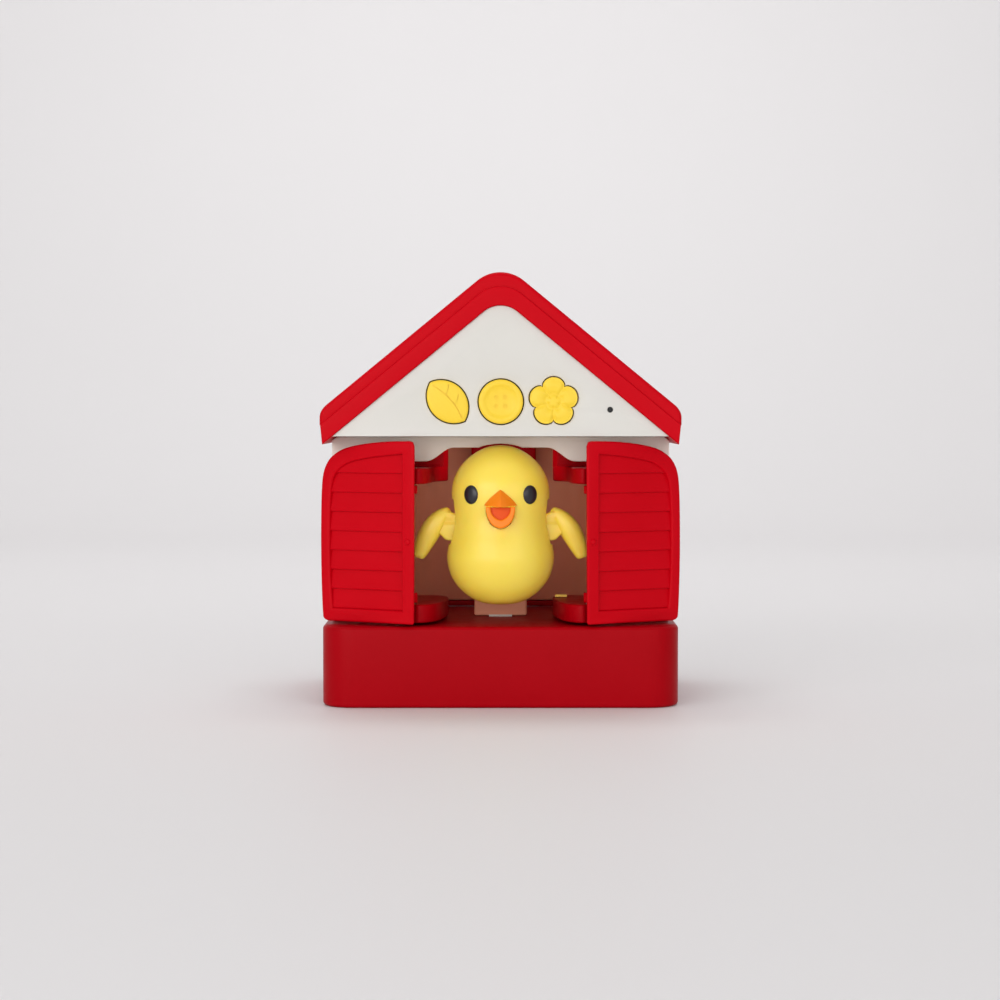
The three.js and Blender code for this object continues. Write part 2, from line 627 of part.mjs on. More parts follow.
// Lays a slat's section (depth, height) along the shutter's width.
const ALONG_U = new THREE.Matrix4().set(0, 0, 1, 5, 1, 0, 0, 0, 0, 1, 0, 0, 0, 0, 0, 1);

// One shutter in its own frame: u along its width, front face at v = 0, then turned into place.
function shutterSolid(side) {
  const body = frontal(shutterOutline(), 0, SHUTTER_T);
  let recess = frontal(panelOutline(), -1, 1.3);
  const slatH = (PANEL_HIGH - PANEL_LOW) / SLATS;
  for (let k = 0; k < SLATS; k += 1) {
    const z = PANEL_LOW + k * slatH;
    const wedge = [[0.25, z], [1.4, z], [1.4, z + slatH], [1.15, z + slatH]];
    const geometry = new THREE.ExtrudeGeometry(toShape(wedge), { depth: 30, bevelEnabled: false });
    geometry.applyMatrix4(ALONG_U);
    recess = cut(recess, toSolid(geometry));
  }
  // The leading edge is cut back square to the house's front, so that the open shutter shows no side face.
  const reach = SHUTTER_T + 1;
  const cutBack = (reach - EDGE_LIP) * Math.tan(SHUTTER_SLANT);
  const leadPlan = [[-1, EDGE_LIP], [0, EDGE_LIP], [cutBack, reach], [-1, reach]];
  const lead = slab(leadPlan, SHUTTER_LOW - 1, SHUTTER_HIGH + 1);
  const knob = rodY(2.4, 60.3, 1, -0.7, 1, 16);
  let solid = join(cut(body, recess, lead), knob);
  for (const [z0, z1] of KNUCKLES) {
    solid = join(solid, box(3.4, 8.6, SHUTTER_T - 0.5, 9.1, z0, z1));
  }
  const cos = Math.cos(SHUTTER_SLANT);
  const sin = Math.sin(SHUTTER_SLANT);
  const [cx, cy] = SHUTTER_CORNER;
  const geometry = toGeometry(solid);
  geometry.applyMatrix4(new THREE.Matrix4().set(cos, -sin, 0, cx, sin, cos, 0, cy, 0, 0, 1, 0, 0, 0, 0, 1));
  if (side < 0) {
    geometry.applyMatrix4(new THREE.Matrix4().makeScale(-1, 1, 1));
    const index = geometry.index.array;
    for (let i = 0; i < index.length; i += 3) {
      [index[i], index[i + 1]] = [index[i + 1], index[i]];
    }
  }
  solid = toSolid(geometry);
  const hx = mirrored(side, HINGE[0]);
  for (const [z0, z1] of KNUCKLES) {
    solid = join(solid, post(hx, HINGE[1], 3, z0, z1));
  }
  return cut(solid, post(hx, HINGE[1], 1.35, 0, 120, 16));
}

function buildDoors() {
  for (const [label, side] of SIDES) {
    const px = mirrored(side, PIVOT[0]);
    const hx = mirrored(side, HINGE[0]);
    const webX = sideSpan(side, PIVOT[0] + 5.6, PIVOT[0] + 6.9);
    let arm = join(armPlate(side, LOW_EDGE, LOW_ARM), armPlate(side, HIGH_EDGE, HIGH_ARM), armHub(side),
      box(webX[0], webX[1], PIVOT[1] - 0.5, PIVOT[1] + 2.6, LOW_ARM[1] - 1, HIGH_ARM[0] + 1));
    arm = cut(arm, post(hx, HINGE[1], 1.55, LOW_ARM[0] + 1.2, HIGH_ARM[1] - 1.2, 16),
      post(px, PIVOT[1], 1.75, 0, LOW_ARM[0] + 4, 16),
      post(px, PIVOT[1], 1.75, HIGH_ARM[0] + 1.5, 120, 16));
    place(`${label}_door_arm`, arm, RED);
    place(`${label}_hinge_pin`, post(hx, HINGE[1], 1.25, LOW_ARM[0] + 1.5, HIGH_ARM[1] - 1.5, 16), STEEL);
    place(`${label}_upper_pivot`, post(px, PIVOT[1], 1.45, HIGH_ARM[0] + 1.8, NICHE_TOP + 1.2, 16), STEEL);

    const shaft = post(px, PIVOT[1], 1.45, CRANK_Z[0] + 0.5, LOW_ARM[0] + 3.7, 16);
    const pegX = mirrored(side, PIVOT[0] + CRANK_R * Math.cos(CRANK_ANGLE));
    const pegY = PIVOT[1] + CRANK_R * Math.sin(CRANK_ANGLE);
    const dx = pegX - px;
    const dy = pegY - PIVOT[1];
    const bar = [[px - dy * 0.25, PIVOT[1] + dx * 0.25], [pegX - dy * 0.22, pegY + dx * 0.22],
      [pegX + dy * 0.22, pegY - dx * 0.22], [px + dy * 0.25, PIVOT[1] - dx * 0.25]];
    const peg = join(post(pegX, pegY, 2.4, ...CRANK_Z),
      post(pegX, pegY, 1.5, CARRIAGE_Z[0] + 0.2, CRANK_Z[0] + 0.5, 16));
    const hub = post(px, PIVOT[1], 3.2, ...CRANK_Z);
    place(`${label}_arm_crank`, join(shaft, hub, slab(counterClockwise(bar), ...CRANK_Z), peg), STEEL);
    place(`${label}_shutter`, shutterSolid(side), RED);
  }
  place('door_contact', box(20.6, 25, -12.5, -11, LOW_ARM[1] + GAP, LOW_ARM[1] + 1.2), BRASS);
}

// ---------- chick ----------
const PROFILE_STEPS = 18;

// Radius of the chick's round body at a height, a head ball blended into a fuller belly.
function chickProfile(inset) {
  const top = CHICK_TOP - inset;
  const bottom = CHICK_BOTTOM + inset;
  const key = [[0, bottom], [8, bottom + 1], [13.4, bottom + 4.4], [16.6, bottom + 7.9],
    [18.9, 49], [19.6, 54], [18.8, 59], [17.4, 64.5], [17.1, 69], [17.8, 75], [17.9, 78], [17.2, 82.2],
    [15, top - 8.3], [11.9, top - 4.8], [8.2, top - 1.8], [4.4, top - 0.4], [0, top]];
  const drawn = key.map(([r, z]) => new THREE.Vector2(r > 0 ? Math.max(0, r - inset) : 0, z));
  const curve = new THREE.SplineCurve(drawn);
  const points = curve.getPoints(PROFILE_STEPS);
  points[0].x = 0;
  points[points.length - 1].x = 0;
  return points.map((p) => new THREE.Vector2(Math.max(0, p.x), p.y));
}

function chickBall(inset) {
  const geometry = new THREE.LatheGeometry(chickProfile(inset), 28);
  geometry.rotateX(Math.PI / 2);
  geometry.scale(1, 0.97, 1);
  geometry.translate(0, CHICK_Y, 0);
  return toSolid(geometry);
}

// The right wing: a bent paddle whose tongue enters the body.
function wingOutline() {
  const shape = new THREE.Shape();
  shape.moveTo(19.4, 73.2);
  shape.quadraticCurveTo(22.6, 73.4, 26.4, 68.6);
  shape.quadraticCurveTo(30.2, 63.8, 31.7, 58);
  shape.quadraticCurveTo(31.9, 55.2, 29, 55.1);
  shape.quadraticCurveTo(27.4, 55.2, 26.2, 58.2);
  shape.quadraticCurveTo(24.2, 62, 22.4, 63.6);
  shape.lineTo(20.4, 60.8);
  shape.quadraticCurveTo(16, 60.4, 14.2, 62.6);
  shape.quadraticCurveTo(12.6, 66, 14.6, 68.4);
  shape.quadraticCurveTo(17, 69.6, 18.6, 69.2);
  shape.quadraticCurveTo(18, 72, 19.4, 73.2);
  return shape.getPoints(5).slice(0, -1).map((p) => [p.x, p.y]);
}

const WING_AXIS = [15.6, 65];
const WING_HALF = 4.3;
const FACE_Y = CHICK_Y - 16.6;
const SEAM_Y = CHICK_Y + 5.4;
const NECK_Z = 58;
const EYE_AT = [10.6, CHICK_Y - 13.2, 77.3];
const EYE_TURN = 0.63;
const BEAK_Z = 73.2;

// The open lower beak: a shallow scoop hanging from the jaw line; a smaller one lies inside it.
function lowerBeak(inset) {
  const w = 5.3 - inset;
  const outline = [[-w, BEAK_Z - 0.5], [-w * 0.94, 69.6 + inset * 0.6], [-w * 0.45, 66.2 + inset],
    [0, 65.1 + inset], [w * 0.45, 66.2 + inset], [w * 0.94, 69.6 + inset * 0.6], [w, BEAK_Z - 0.5]];
  const y = FACE_Y - 1.6 - inset * 0.3;
  return frontal(outline.reverse(), y - (inset ? 1 : 0), y + (inset ? 0.1 - GAP : 2.6));
}

function buildChick() {
  const ball = chickBall(0);
  const hollow = chickBall(SHELL_T);
  const skin = ball.subtract(hollow);
  const slots = SIDES.map(([, side]) => box(...sideSpan(side, 11, 24), CHICK_Y - WING_HALF - 0.5,
    CHICK_Y + WING_HALF + 0.5, 58.2, 74.5));
  const mouthOutline = [[-5.2, 64.8], [5.2, 64.8], [6.4, 73.6], [0, 78.2], [-6.4, 73.6]];
  const mouth = frontal(mouthOutline, FACE_Y - 6, FACE_Y + 5);
  place('chick_front_shell', cut(skin, box(-40, 40, SEAM_Y, 40, 0, 120), mouth, ...slots), CHICK);
  const neckHole = rodY(0, NECK_Z, 5.2, CHICK_Y, 20);
  place('chick_back_shell', cut(skin, box(-40, 40, -90, SEAM_Y + GAP, 0, 120), neckHole), CHICK);
  const neck = join(rodY(0, NECK_Z, 4.8, SEAM_Y + 3, POST_Y[0] - GAP, 24),
    rodY(0, NECK_Z, 7, SEAM_Y + 1.2, SEAM_Y + 4, 24));
  place('chick_neck', neck, CHICK);
  const spine = join(box(-3, 3, SEAM_Y - 9, SEAM_Y + 0.9, 52, 68),
    box(-12, 12, CHICK_Y - 1.2, CHICK_Y + 1.2, 63.6, 66.4));
  place('chick_frame', spine, GREY);

  for (const [label, side] of SIDES) {
    const x = mirrored(side, WING_AXIS[0]);
    const wing = frontal(mirrorPoints(wingOutline(), side), CHICK_Y - WING_HALF, CHICK_Y + WING_HALF);
    const clear = box(...sideSpan(side, 8, WING_AXIS[0]), CHICK_Y - 1.6, CHICK_Y + 1.6, 58, 74);
    place(`${label}_wing`, cut(wing, rodY(x, WING_AXIS[1], 0.85, -60, 0, 12), clear), CHICK);
    const pin = rodY(x, WING_AXIS[1], 0.7, CHICK_Y - WING_HALF, CHICK_Y + WING_HALF, 12);
    place(`${label}_wing_pin`, pin, STEEL);
    const eye = new THREE.SphereGeometry(1, 14, 9);
    eye.scale(3.15, 1.5, 3.45);
    eye.rotateZ(mirrored(side, EYE_TURN));
    eye.translate(mirrored(side, EYE_AT[0]), EYE_AT[1], EYE_AT[2]);
    place(`${label}_eye`, toSolid(eye).subtract(chickBall(-0.05)), BLACK);
  }

  const ridge = new THREE.ConeGeometry(6.1, 7.4, 20);
  ridge.rotateZ(Math.PI);
  ridge.translate(0, FACE_Y - 2, BEAK_Z);
  place('upper_beak', cut(toSolid(ridge), box(-20, 20, -90, 0, 0, BEAK_Z), chickBall(-GAP)), ORANGE);
  place('lower_beak', lowerBeak(0), ORANGE);
  place('beak_tongue', lowerBeak(1.1), MOUTH);
}

buildBase();
buildHouse();
buildControls();
buildDrive();
buildDoors();
buildChick();

export default group;
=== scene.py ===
"""Looks of the toy house with its pop-out chick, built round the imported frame."""
import json
import math

import bpy
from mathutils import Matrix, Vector


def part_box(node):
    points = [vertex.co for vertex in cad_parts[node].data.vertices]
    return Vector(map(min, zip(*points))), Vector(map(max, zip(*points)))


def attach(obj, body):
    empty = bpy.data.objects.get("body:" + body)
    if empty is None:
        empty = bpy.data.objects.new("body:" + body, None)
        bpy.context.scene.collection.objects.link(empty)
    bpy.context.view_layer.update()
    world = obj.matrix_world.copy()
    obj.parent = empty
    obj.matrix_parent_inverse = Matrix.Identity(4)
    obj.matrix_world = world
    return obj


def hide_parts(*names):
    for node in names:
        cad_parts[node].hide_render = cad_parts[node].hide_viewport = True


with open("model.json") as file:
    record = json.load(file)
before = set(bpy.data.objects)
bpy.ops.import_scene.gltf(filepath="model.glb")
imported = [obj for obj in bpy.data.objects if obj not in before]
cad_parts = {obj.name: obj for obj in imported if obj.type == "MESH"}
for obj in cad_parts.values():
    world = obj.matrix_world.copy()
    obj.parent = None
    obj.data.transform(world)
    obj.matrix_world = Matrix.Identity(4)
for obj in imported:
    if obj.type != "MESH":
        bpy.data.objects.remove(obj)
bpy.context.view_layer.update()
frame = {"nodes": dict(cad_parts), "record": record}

# ---------------------------------------------------------------- measures, in millimetres
MM = 0.001
TAU = 2 * math.pi


def span(node):
    """Lowest and highest corner of a frame node, in millimetres."""
    low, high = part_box(node)
    return Vector(low) / MM, Vector(high) / MM


BASE_LOW, BASE_HIGH = span("base_housing")
CAP_LOW, CAP_HIGH = span("roof_cap")
TRIM_LOW, TRIM_HIGH = span("roof_trim")
WALL_LOW, WALL_HIGH = span("front_wall")
SHELL_LOW, SHELL_HIGH = span("house_shell")
LINER_LOW, LINER_HIGH = span("niche_liner")
PANEL_LOW, PANEL_HIGH = span("gable_panel")
POST_LOW, POST_HIGH = span("chick_post")
KEY_FACE = span("disc_button")[0].y

FRONT = BASE_LOW.y
DECK = BASE_HIGH.z
BASE_CORNER = 12.0
BASE_WALL = 2.5
PAN_TOP = 2.9
BASE_SCREWS = [(x, y) for x in (-54, 54) for y in (-38, 38)]
POST_SLOT = (-5, 5, -5.5, 38.2)
SWITCH_WINDOW = (24, 36, 12.5, 17.5)

ROOF_SLOPE = 0.8212
ROOF_ANGLE = math.atan(ROOF_SLOPE)
RIDGE_R = 13.26
ROOF_APEX = CAP_HIGH.z + RIDGE_R * (1 / math.cos(ROOF_ANGLE) - 1)
CAP_DROP = 5.4
ROOF_DROP = 13.1
TRIM_RIDGE_R = 12.2
PANEL_RIDGE_R = 9.5
WALL_T = 2.2
EAVE_GAP = 0.6

DOOR_HALF = 37.0
DOOR_HIGH, DOOR_LOW = 93.9, 88.8
SPEAKER_Z = 119
LINER_HALF, LINER_T, LINER_CORNER = 38.5, 1.5, 11.5
NICHE_TOP = 97

CHICK_Y = -34.5
SEAM_Y = CHICK_Y + 5.4
HEAD_Z = 77.3
BEAK_Z = 73.2
FACE_Y = CHICK_Y - 16.6
WING_AXIS = (15.6, 65.0)
DEPTH_SQUASH = 0.97

PIVOT = (29.5, -6.5)
HINGE = (32.2, -40.6)
SHUTTER_CORNER = (31.2, -51.5)
SHUTTER_SLANT = math.radians(28.1)
SHUTTER_T = 4.8
SHUTTER_LOW, SHUTTER_HIGH = 30.5, 96.6
SLATS = 8
WINDOW_U = 5.1
WINDOW_LOW, WINDOW_HIGH = 35.3, 91.9
SLAT_FACE = 0.75
LOW_ARM = (30.6, 37.2)
HIGH_ARM = (81.0, 86.8)
HUB_TOP = 96.5
KNUCKLES = ((37.8, 41.4), (77.4, 80.4))

BUTTON_Z = 110.8
KEY_CENTRES = {"leaf": -19.1, "disc": 0.1, "flower": 19.1}
KEY_GAP = 0.42
MIC = (39.5, 107.9)
MIC_R = 1.05
SIDES = (("left", -1), ("right", 1))


# ---------------------------------------------------------------- modelling helpers
def deselect():
    if bpy.context.mode != "OBJECT":
        bpy.ops.object.mode_set(mode="OBJECT")
    bpy.ops.object.select_all(action="DESELECT")


def take(obj):
    """Makes one object the only selected and active one."""
    deselect()
    obj.select_set(True)
    bpy.context.view_layer.objects.active = obj


def clean(obj, merge=0.002):
    """Merges doubles, drops loose bits and points every face outwards."""
    take(obj)
    bpy.ops.object.mode_set(mode="EDIT")
    bpy.ops.mesh.select_all(action="SELECT")
    bpy.ops.mesh.remove_doubles(threshold=merge * MM)
    bpy.ops.mesh.dissolve_degenerate(threshold=1e-7)
    bpy.ops.mesh.select_all(action="SELECT")
    bpy.ops.mesh.delete_loose(use_verts=True, use_edges=True, use_faces=False)
    bpy.ops.mesh.select_all(action="SELECT")
    bpy.ops.mesh.normals_make_consistent(inside=False)
    bpy.ops.object.mode_set(mode="OBJECT")
    return obj


def reshape(obj, rule):
    """Moves each vertex where rule(x, y, z) says, in millimetres."""
    for vertex in obj.data.vertices:
        vertex.co = Vector(rule(*(vertex.co / MM))) * MM
    return obj


def turns_left(outline):
    area = 0
    for (xa, ya), (xb, yb) in zip(outline, outline[1:] + outline[:1]):
        area += xa * yb - xb * ya
    return area > 0


PLANES = {
    "front": lambda a, b, d: (a, d, b),
    "plan": lambda a, b, d: (a, b, d),
    "side": lambda a, b, d: (d, a, b),
}


def plate(name, outlines, low, high, edge, plane="front", rings=3):
    """A plate between two depths with rounded edges. The first outline is its rim, the others are holes."""
    deselect()
    bpy.ops.object.add(type="CURVE")
    obj = bpy.context.object
    obj.name = name
    curve = obj.data
    curve.dimensions = "2D"
    curve.fill_mode = "BOTH"
    curve.bevel_depth = edge * MM
    curve.bevel_resolution = rings
    curve.offset = -edge * MM
    curve.extrude = ((high - low) / 2 - edge) * MM
    for index, outline in enumerate(outlines):
        points = list(outline)
        if turns_left(points) != (index == 0):
            points.reverse()
        spline = curve.splines.new("POLY")
        spline.points.add(len(points) - 1)
        for point, (a, b) in zip(spline.points, points):
            point.co = (a * MM, b * MM, 0, 1)
        spline.use_cyclic_u = True
    take(obj)
    bpy.ops.object.convert(target="MESH")
    obj = bpy.context.object
    middle = (high + low) / 2
    put = PLANES[plane]
    reshape(obj, lambda x, y, z: put(x, y, z + middle))
    return clean(obj)


def punch(name, outline, low, high, plane="front"):
    """A sharp-edged plate, for cutting an opening."""
    return plate(name, [outline], low, high, 0.0, plane, rings=0)


def turned(name, profile, steps, place=None):
    """A solid of revolution about Z from (radius, height) points that start and end on the axis."""
    deselect()
    bpy.ops.mesh.primitive_circle_add(vertices=len(profile), radius=MM, fill_type="NOTHING")
    obj = bpy.context.object
    obj.name = name
    for vertex, (radius, height) in zip(obj.data.vertices, profile):
        vertex.co = Vector((radius, 0, height)) * MM
    bpy.ops.object.mode_set(mode="EDIT")
    bpy.ops.mesh.select_all(action="SELECT")
    bpy.ops.mesh.spin(steps=steps, angle=TAU, center=(0, 0, 0), axis=(0, 0, 1))
    bpy.ops.object.mode_set(mode="OBJECT")
    clean(obj, merge=0.0005)
    if place:
        reshape(obj, place)
        clean(obj, merge=0.0005)
    return obj


def ball(name, segments, rings, place):
    """A sphere whose unit directions are moved where place(x, y, z) says."""
    deselect()
    bpy.ops.mesh.primitive_uv_sphere_add(segments=segments, ring_count=rings, radius=1)
    obj = bpy.context.object
    obj.name = name
    for vertex in obj.data.vertices:
        vertex.co = Vector(place(*vertex.co)) * MM
    return clean(obj, merge=0.0005)


def block(name, low, high, edge=0.0):
    """A box with softened edges."""
    deselect()
    bpy.ops.mesh.primitive_cube_add(size=1)
    obj = bpy.context.object
    obj.name = name
    low, high = Vector(low), Vector(high)
    for vertex in obj.data.vertices:
        vertex.co = Vector([(low[i] if vertex.co[i] < 0 else high[i]) * MM for i in range(3)])
    if edge:
        round_edges(obj, edge)
    return obj


def round_edges(obj, width, segments=3, angle=35):
    take(obj)
    bpy.ops.object.modifier_add(type="BEVEL")
    modifier = obj.modifiers[-1]
    modifier.width = width * MM
    modifier.segments = segments
    modifier.limit_method = "ANGLE"
    modifier.angle_limit = math.radians(angle)
    bpy.ops.object.modifier_apply(modifier=modifier.name)
    return obj


def rod(name, radius, low, high, centre, axis="z", sides=32, edge=0.0):
    """A round bar along one axis, with its rims softened."""
    rim = [(0, low), (radius - edge, low)]
    if edge:
        rim += [(radius - edge * 0.3, low + edge * 0.3), (radius, low + edge), (radius, high - edge)]
        rim += [(radius - edge * 0.3, high - edge * 0.3), (radius - edge, high), (0, high)]
    else:
        rim += [(radius, high), (0, high)]
    a, b = centre
    places = {
        "z": lambda x, y, z: (x + a, y + b, z),
        "y": lambda x, y, z: (x + a, z, y + b),
        "x": lambda x, y, z: (z, x + a, y + b),
    }
    return turned(name, rim, sides, places[axis])


def combine(obj, other, how):
    take(obj)
    bpy.ops.object.modifier_add(type="BOOLEAN")
    modifier = obj.modifiers[-1]
    modifier.operation = how
    modifier.solver = "EXACT"
    modifier.object = other
    bpy.ops.object.modifier_apply(modifier=modifier.name)
    bpy.data.objects.remove(other, do_unlink=True)
    return obj


def carve(obj, *cutters):
    for cutter in cutters:
        combine(obj, cutter, "DIFFERENCE")
    return obj


def weld(obj, *others):
    for other in others:
        combine(obj, other, "UNION")
    return obj


def gather(obj, *others):
    """Joins separate closed bodies into one object without cutting them."""
    take(obj)
    for other in others:
        other.select_set(True)
    bpy.ops.object.join()
    return obj


def copy_of(obj, name):
    twin = obj.copy()
    twin.data = obj.data.copy()
    twin.name = name
    bpy.context.collection.objects.link(twin)
    return twin


def smooth(obj, angle=32):
    take(obj)
    bpy.ops.object.shade_smooth_by_angle(angle=math.radians(angle))
    return obj


def flip_sides(obj):
    """Mirrors a piece to the other side of the house."""
    reshape(obj, lambda x, y, z: (-x, y, z))
    take(obj)
    bpy.ops.object.mode_set(mode="EDIT")
    bpy.ops.mesh.select_all(action="SELECT")
    bpy.ops.mesh.flip_normals()
    bpy.ops.object.mode_set(mode="OBJECT")
    return obj


def soft_path(points, steps=6, closed=False):
    """A smooth path through given points (Catmull-Rom)."""
    count = len(points)
    result = []
    last = count if closed else count - 1
    for i in range(last):
        def at(k):
            return Vector(points[k % count] if closed else points[min(max(k, 0), count - 1)])
        p0, p1, p2, p3 = at(i - 1), at(i), at(i + 1), at(i + 2)
        for step in range(steps):
            t = step / steps
            point = 0.5 * (2 * p1 + (p2 - p0) * t + (2 * p0 - 5 * p1 + 4 * p2 - p3) * t * t
                           + (3 * p1 - p0 - 3 * p2 + p3) * t ** 3)
            result.append(tuple(point))
    if not closed:
        result.append(tuple(points[-1]))
    return result


def arc(cx, cy, radius, start, end, steps=12):
    """Points on an arc, angles in degrees."""
    points = []
    for i in range(steps + 1):
        angle = math.radians(start + (end - start) * i / steps)
        points.append((cx + radius * math.cos(angle), cy + radius * math.sin(angle)))
    return points


def rounded_rect(x0, x1, y0, y1, radius, steps=12):
    left, right, low, high = x0 + radius, x1 - radius, y0 + radius, y1 - radius
    corners = ((right, low, -90), (right, high, 0), (left, high, 90), (left, low, 180))
    return [point for x, y, start in corners for point in arc(x, y, radius, start, start + 90, steps)]


# ---------------------------------------------------------------- materials
def linear(hex_colour):
    """An sRGB hex colour as linear RGBA."""
    channels = [int(hex_colour[i:i + 2], 16) / 255 for i in (1, 3, 5)]
    return [c / 12.92 if c <= 0.04045 else ((c + 0.055) / 1.055) ** 2.4 for c in channels] + [1]


def add_node(tree, kind, values=None, links=None, **settings):
    """Adds a node, sets its options and input values, and links its inputs."""
    node = tree.nodes.new(kind)
    for key, value in settings.items():
        setattr(node, key, value)
    for key, value in (values or {}).items():
        node.inputs[key].default_value = value
    for key, source in (links or {}).items():
        tree.links.new(source, node.inputs[key])
    return node


def new_material(name):
    """A plain shader, and the object's own coordinates to lay patterns on."""
    material = bpy.data.materials.new(name)
    material.use_nodes = True
    tree = material.node_tree
    place = add_node(tree, "ShaderNodeTexCoord").outputs["Object"]
    return material, tree, tree.nodes["Principled BSDF"], place


def link_tint(tree, shader, low, high, share):
    """Blends two colours into the shader's base colour."""
    tint = add_node(tree, "ShaderNodeMix", {6: low, 7: high}, {0: share}, data_type="RGBA")
    tree.links.new(tint.outputs[2], shader.inputs["Base Color"])


def link_relief(tree, shader, strength, height, pattern):
    """Raises a pattern by a height in millimetres."""
    bump = add_node(tree, "ShaderNodeBump", {"Strength": strength, "Distance": height * MM},
                    {"Height": pattern})
    tree.links.new(bump.outputs["Normal"], shader.inputs["Normal"])


ABS_IOR = 1.53
COAT_ROUGHNESS = 0.12
SCATTER_TINT = (1.0, 0.6, 0.25)
SCATTER_DEPTH = 4.0
HANDLING_MARK = 4.5


def plastic(name, low_colour, high_colour, roughness, spread=0.08, cloud=18.0, grain=0.35, relief=0.02,
            coat=0.0, scatter=0.0, shine=0.5):
    """Moulded plastic: slow colour drift from the melt, a fine skin from the tool, faint handling marks.

    cloud and grain are sizes in millimetres; relief is the height of the skin in millimetres.
    """
    material, tree, shader, place = new_material(name)
    shader.inputs["IOR"].default_value = ABS_IOR
    shader.inputs["Specular IOR Level"].default_value = shine
    shader.inputs["Coat Weight"].default_value = coat
    shader.inputs["Coat Roughness"].default_value = COAT_ROUGHNESS
    if scatter:
        shader.inputs["Subsurface Weight"].default_value = scatter
        shader.inputs["Subsurface Radius"].default_value = SCATTER_TINT
        shader.inputs["Subsurface Scale"].default_value = SCATTER_DEPTH * MM
    drift = add_node(tree, "ShaderNodeTexNoise", {"Scale": 1 / (cloud * MM), "Detail": 3.0},
                     {"Vector": place})
    link_tint(tree, shader, linear(low_colour), linear(high_colour), drift.outputs["Fac"])
    marks = add_node(tree, "ShaderNodeTexNoise",
                     {"Scale": 1 / (HANDLING_MARK * MM), "Detail": 6.0, "Roughness": 0.65}, {"Vector": place})
    limits = {"From Min": 0.3, "From Max": 0.7,
              "To Min": roughness - spread / 2, "To Max": roughness + spread / 2}
    rough = add_node(tree, "ShaderNodeMapRange", limits, {"Value": marks.outputs["Fac"]})
    tree.links.new(rough.outputs["Result"], shader.inputs["Roughness"])
    skin = add_node(tree, "ShaderNodeTexNoise", {"Scale": 1 / (grain * MM), "Detail": 2.0}, {"Vector": place})
    link_relief(tree, shader, 0.35, relief, skin.outputs["Fac"])
    return material


def bright_metal(name, low_colour, high_colour, roughness, grain=0.25):
    """Drawn or pressed metal: fine lines along one way and small changes in its shine."""
    material, tree, shader, place = new_material(name)
    shader.inputs["Metallic"].default_value = 1.0
    stretch = add_node(tree, "ShaderNodeMapping", {"Scale": (1.0, 1.0, 0.12)}, {"Vector": place})
    lines = add_node(tree, "ShaderNodeTexNoise", {"Scale": 1 / (grain * MM), "Detail": 4.0},
                     {"Vector": stretch.outputs["Vector"]})
    link_tint(tree, shader, linear(low_colour), linear(high_colour), lines.outputs["Fac"])
    rough = add_node(tree, "ShaderNodeMapRange", {"To Min": roughness - 0.06, "To Max": roughness + 0.1},
                     {"Value": lines.outputs["Fac"]})
    tree.links.new(rough.outputs["Result"], shader.inputs["Roughness"])
    link_relief(tree, shader, 0.3, 0.01, lines.outputs["Fac"])
    return material


def board_laminate(name):
    """Green solder mask over fine copper tracks."""
    material = plastic(name, "#1C4A2C", "#2B6A3D", 0.38, cloud=6.0, grain=0.6)
    tree = material.node_tree
    place = add_node(tree, "ShaderNodeTexCoord").outputs["Object"]
    tracks = add_node(tree, "ShaderNodeTexWave", {"Scale": 1 / (5.0 * MM), "Distortion": 1.5},
                      {"Vector": place}, bands_direction="DIAGONAL")
    shader = tree.nodes["Principled BSDF"]
    link_tint(tree, shader, linear("#1C4A2C"), linear("#35774A"), tracks.outputs["Fac"])
    return material


# Moulded ABS in one saturated red: even colour, soft highlights, a faint skin from the tool.
RED_ABS = plastic("red_abs_moulding", "#BE0010", "#C60216", 0.38, shine=0.05)
# A darker copy of the red: a darker red on the base, and painted shade on the arms and on the kerb and
# bracket inside the niche.
DARK_RED_AND_PAINTED_SHADE_ABS = plastic("dark_red_and_painted_shade_abs", "#A0000C", "#A60110", 0.38, shine=0.05)
# The same resin in warm white.
WHITE_ABS = plastic("warm_white_abs_moulding", "#CFCDC7", "#D5D3CD", 0.42, grain=0.4, shine=0.35)
# The wall behind the shutters is the same white, painted lighter and warmer as painted light from below and
# warm bounce under the gable.
PAINTED_LIGHT_WALL_ABS = plastic("doorway_white_painted_light", "#EFE6DB", "#F3ECE2", 0.42, grain=0.4, shine=0.35)
# The niche's lining is the same white moulding, tinted warm orange as a painted reflection of red light
# bounced round the niche; the chick's post takes it too.
RED_BOUNCE_WHITE_ABS = plastic("white_abs_painted_red_bounce", "#F0A682", "#F4AE8C", 0.45, grain=0.4, shine=0.2)
# The chick's shells are a softer, slightly waxy vinyl-like moulding that lets a little light in.
CHICK_VINYL = plastic("chick_yellow_vinyl", "#F8D648", "#FADC5A", 0.36, scatter=0.5, grain=0.3, shine=0.45)
BUTTON_ABS = plastic("button_yellow_abs", "#EFC92E", "#F3D03A", 0.4, grain=0.3, shine=0.3)
BEAK_ABS = plastic("beak_orange_abs", "#F47C08", "#FB8A12", 0.38, grain=0.3, shine=0.3)
MOUTH_ABS = plastic("mouth_red_orange", "#DA4A04", "#E65A08", 0.42, grain=0.3, shine=0.2)
EYE_BEAD = plastic("eye_black_bead", "#15151B", "#1C1C24", 0.3, spread=0.04)
GREY_ABS = plastic("grey_abs_inner", "#4E5155", "#5A5D61", 0.5)
ACETAL = plastic("natural_acetal", "#DCD7C6", "#E6E2D4", 0.45, scatter=0.08)
BLACK_ABS = plastic("black_abs_slider", "#17181B", "#222327", 0.45, grain=0.5, relief=0.04)
CELL_SLEEVE = plastic("cell_sleeve_blue", "#2C4A6A", "#3A5F86", 0.3, coat=0.2)
STEEL = bright_metal("bright_steel", "#A9ABAE", "#C4C6C8", 0.3)
BRASS = bright_metal("bright_brass", "#B78E3A", "#D6B25A", 0.28)
BOARD = board_laminate("board_laminate")

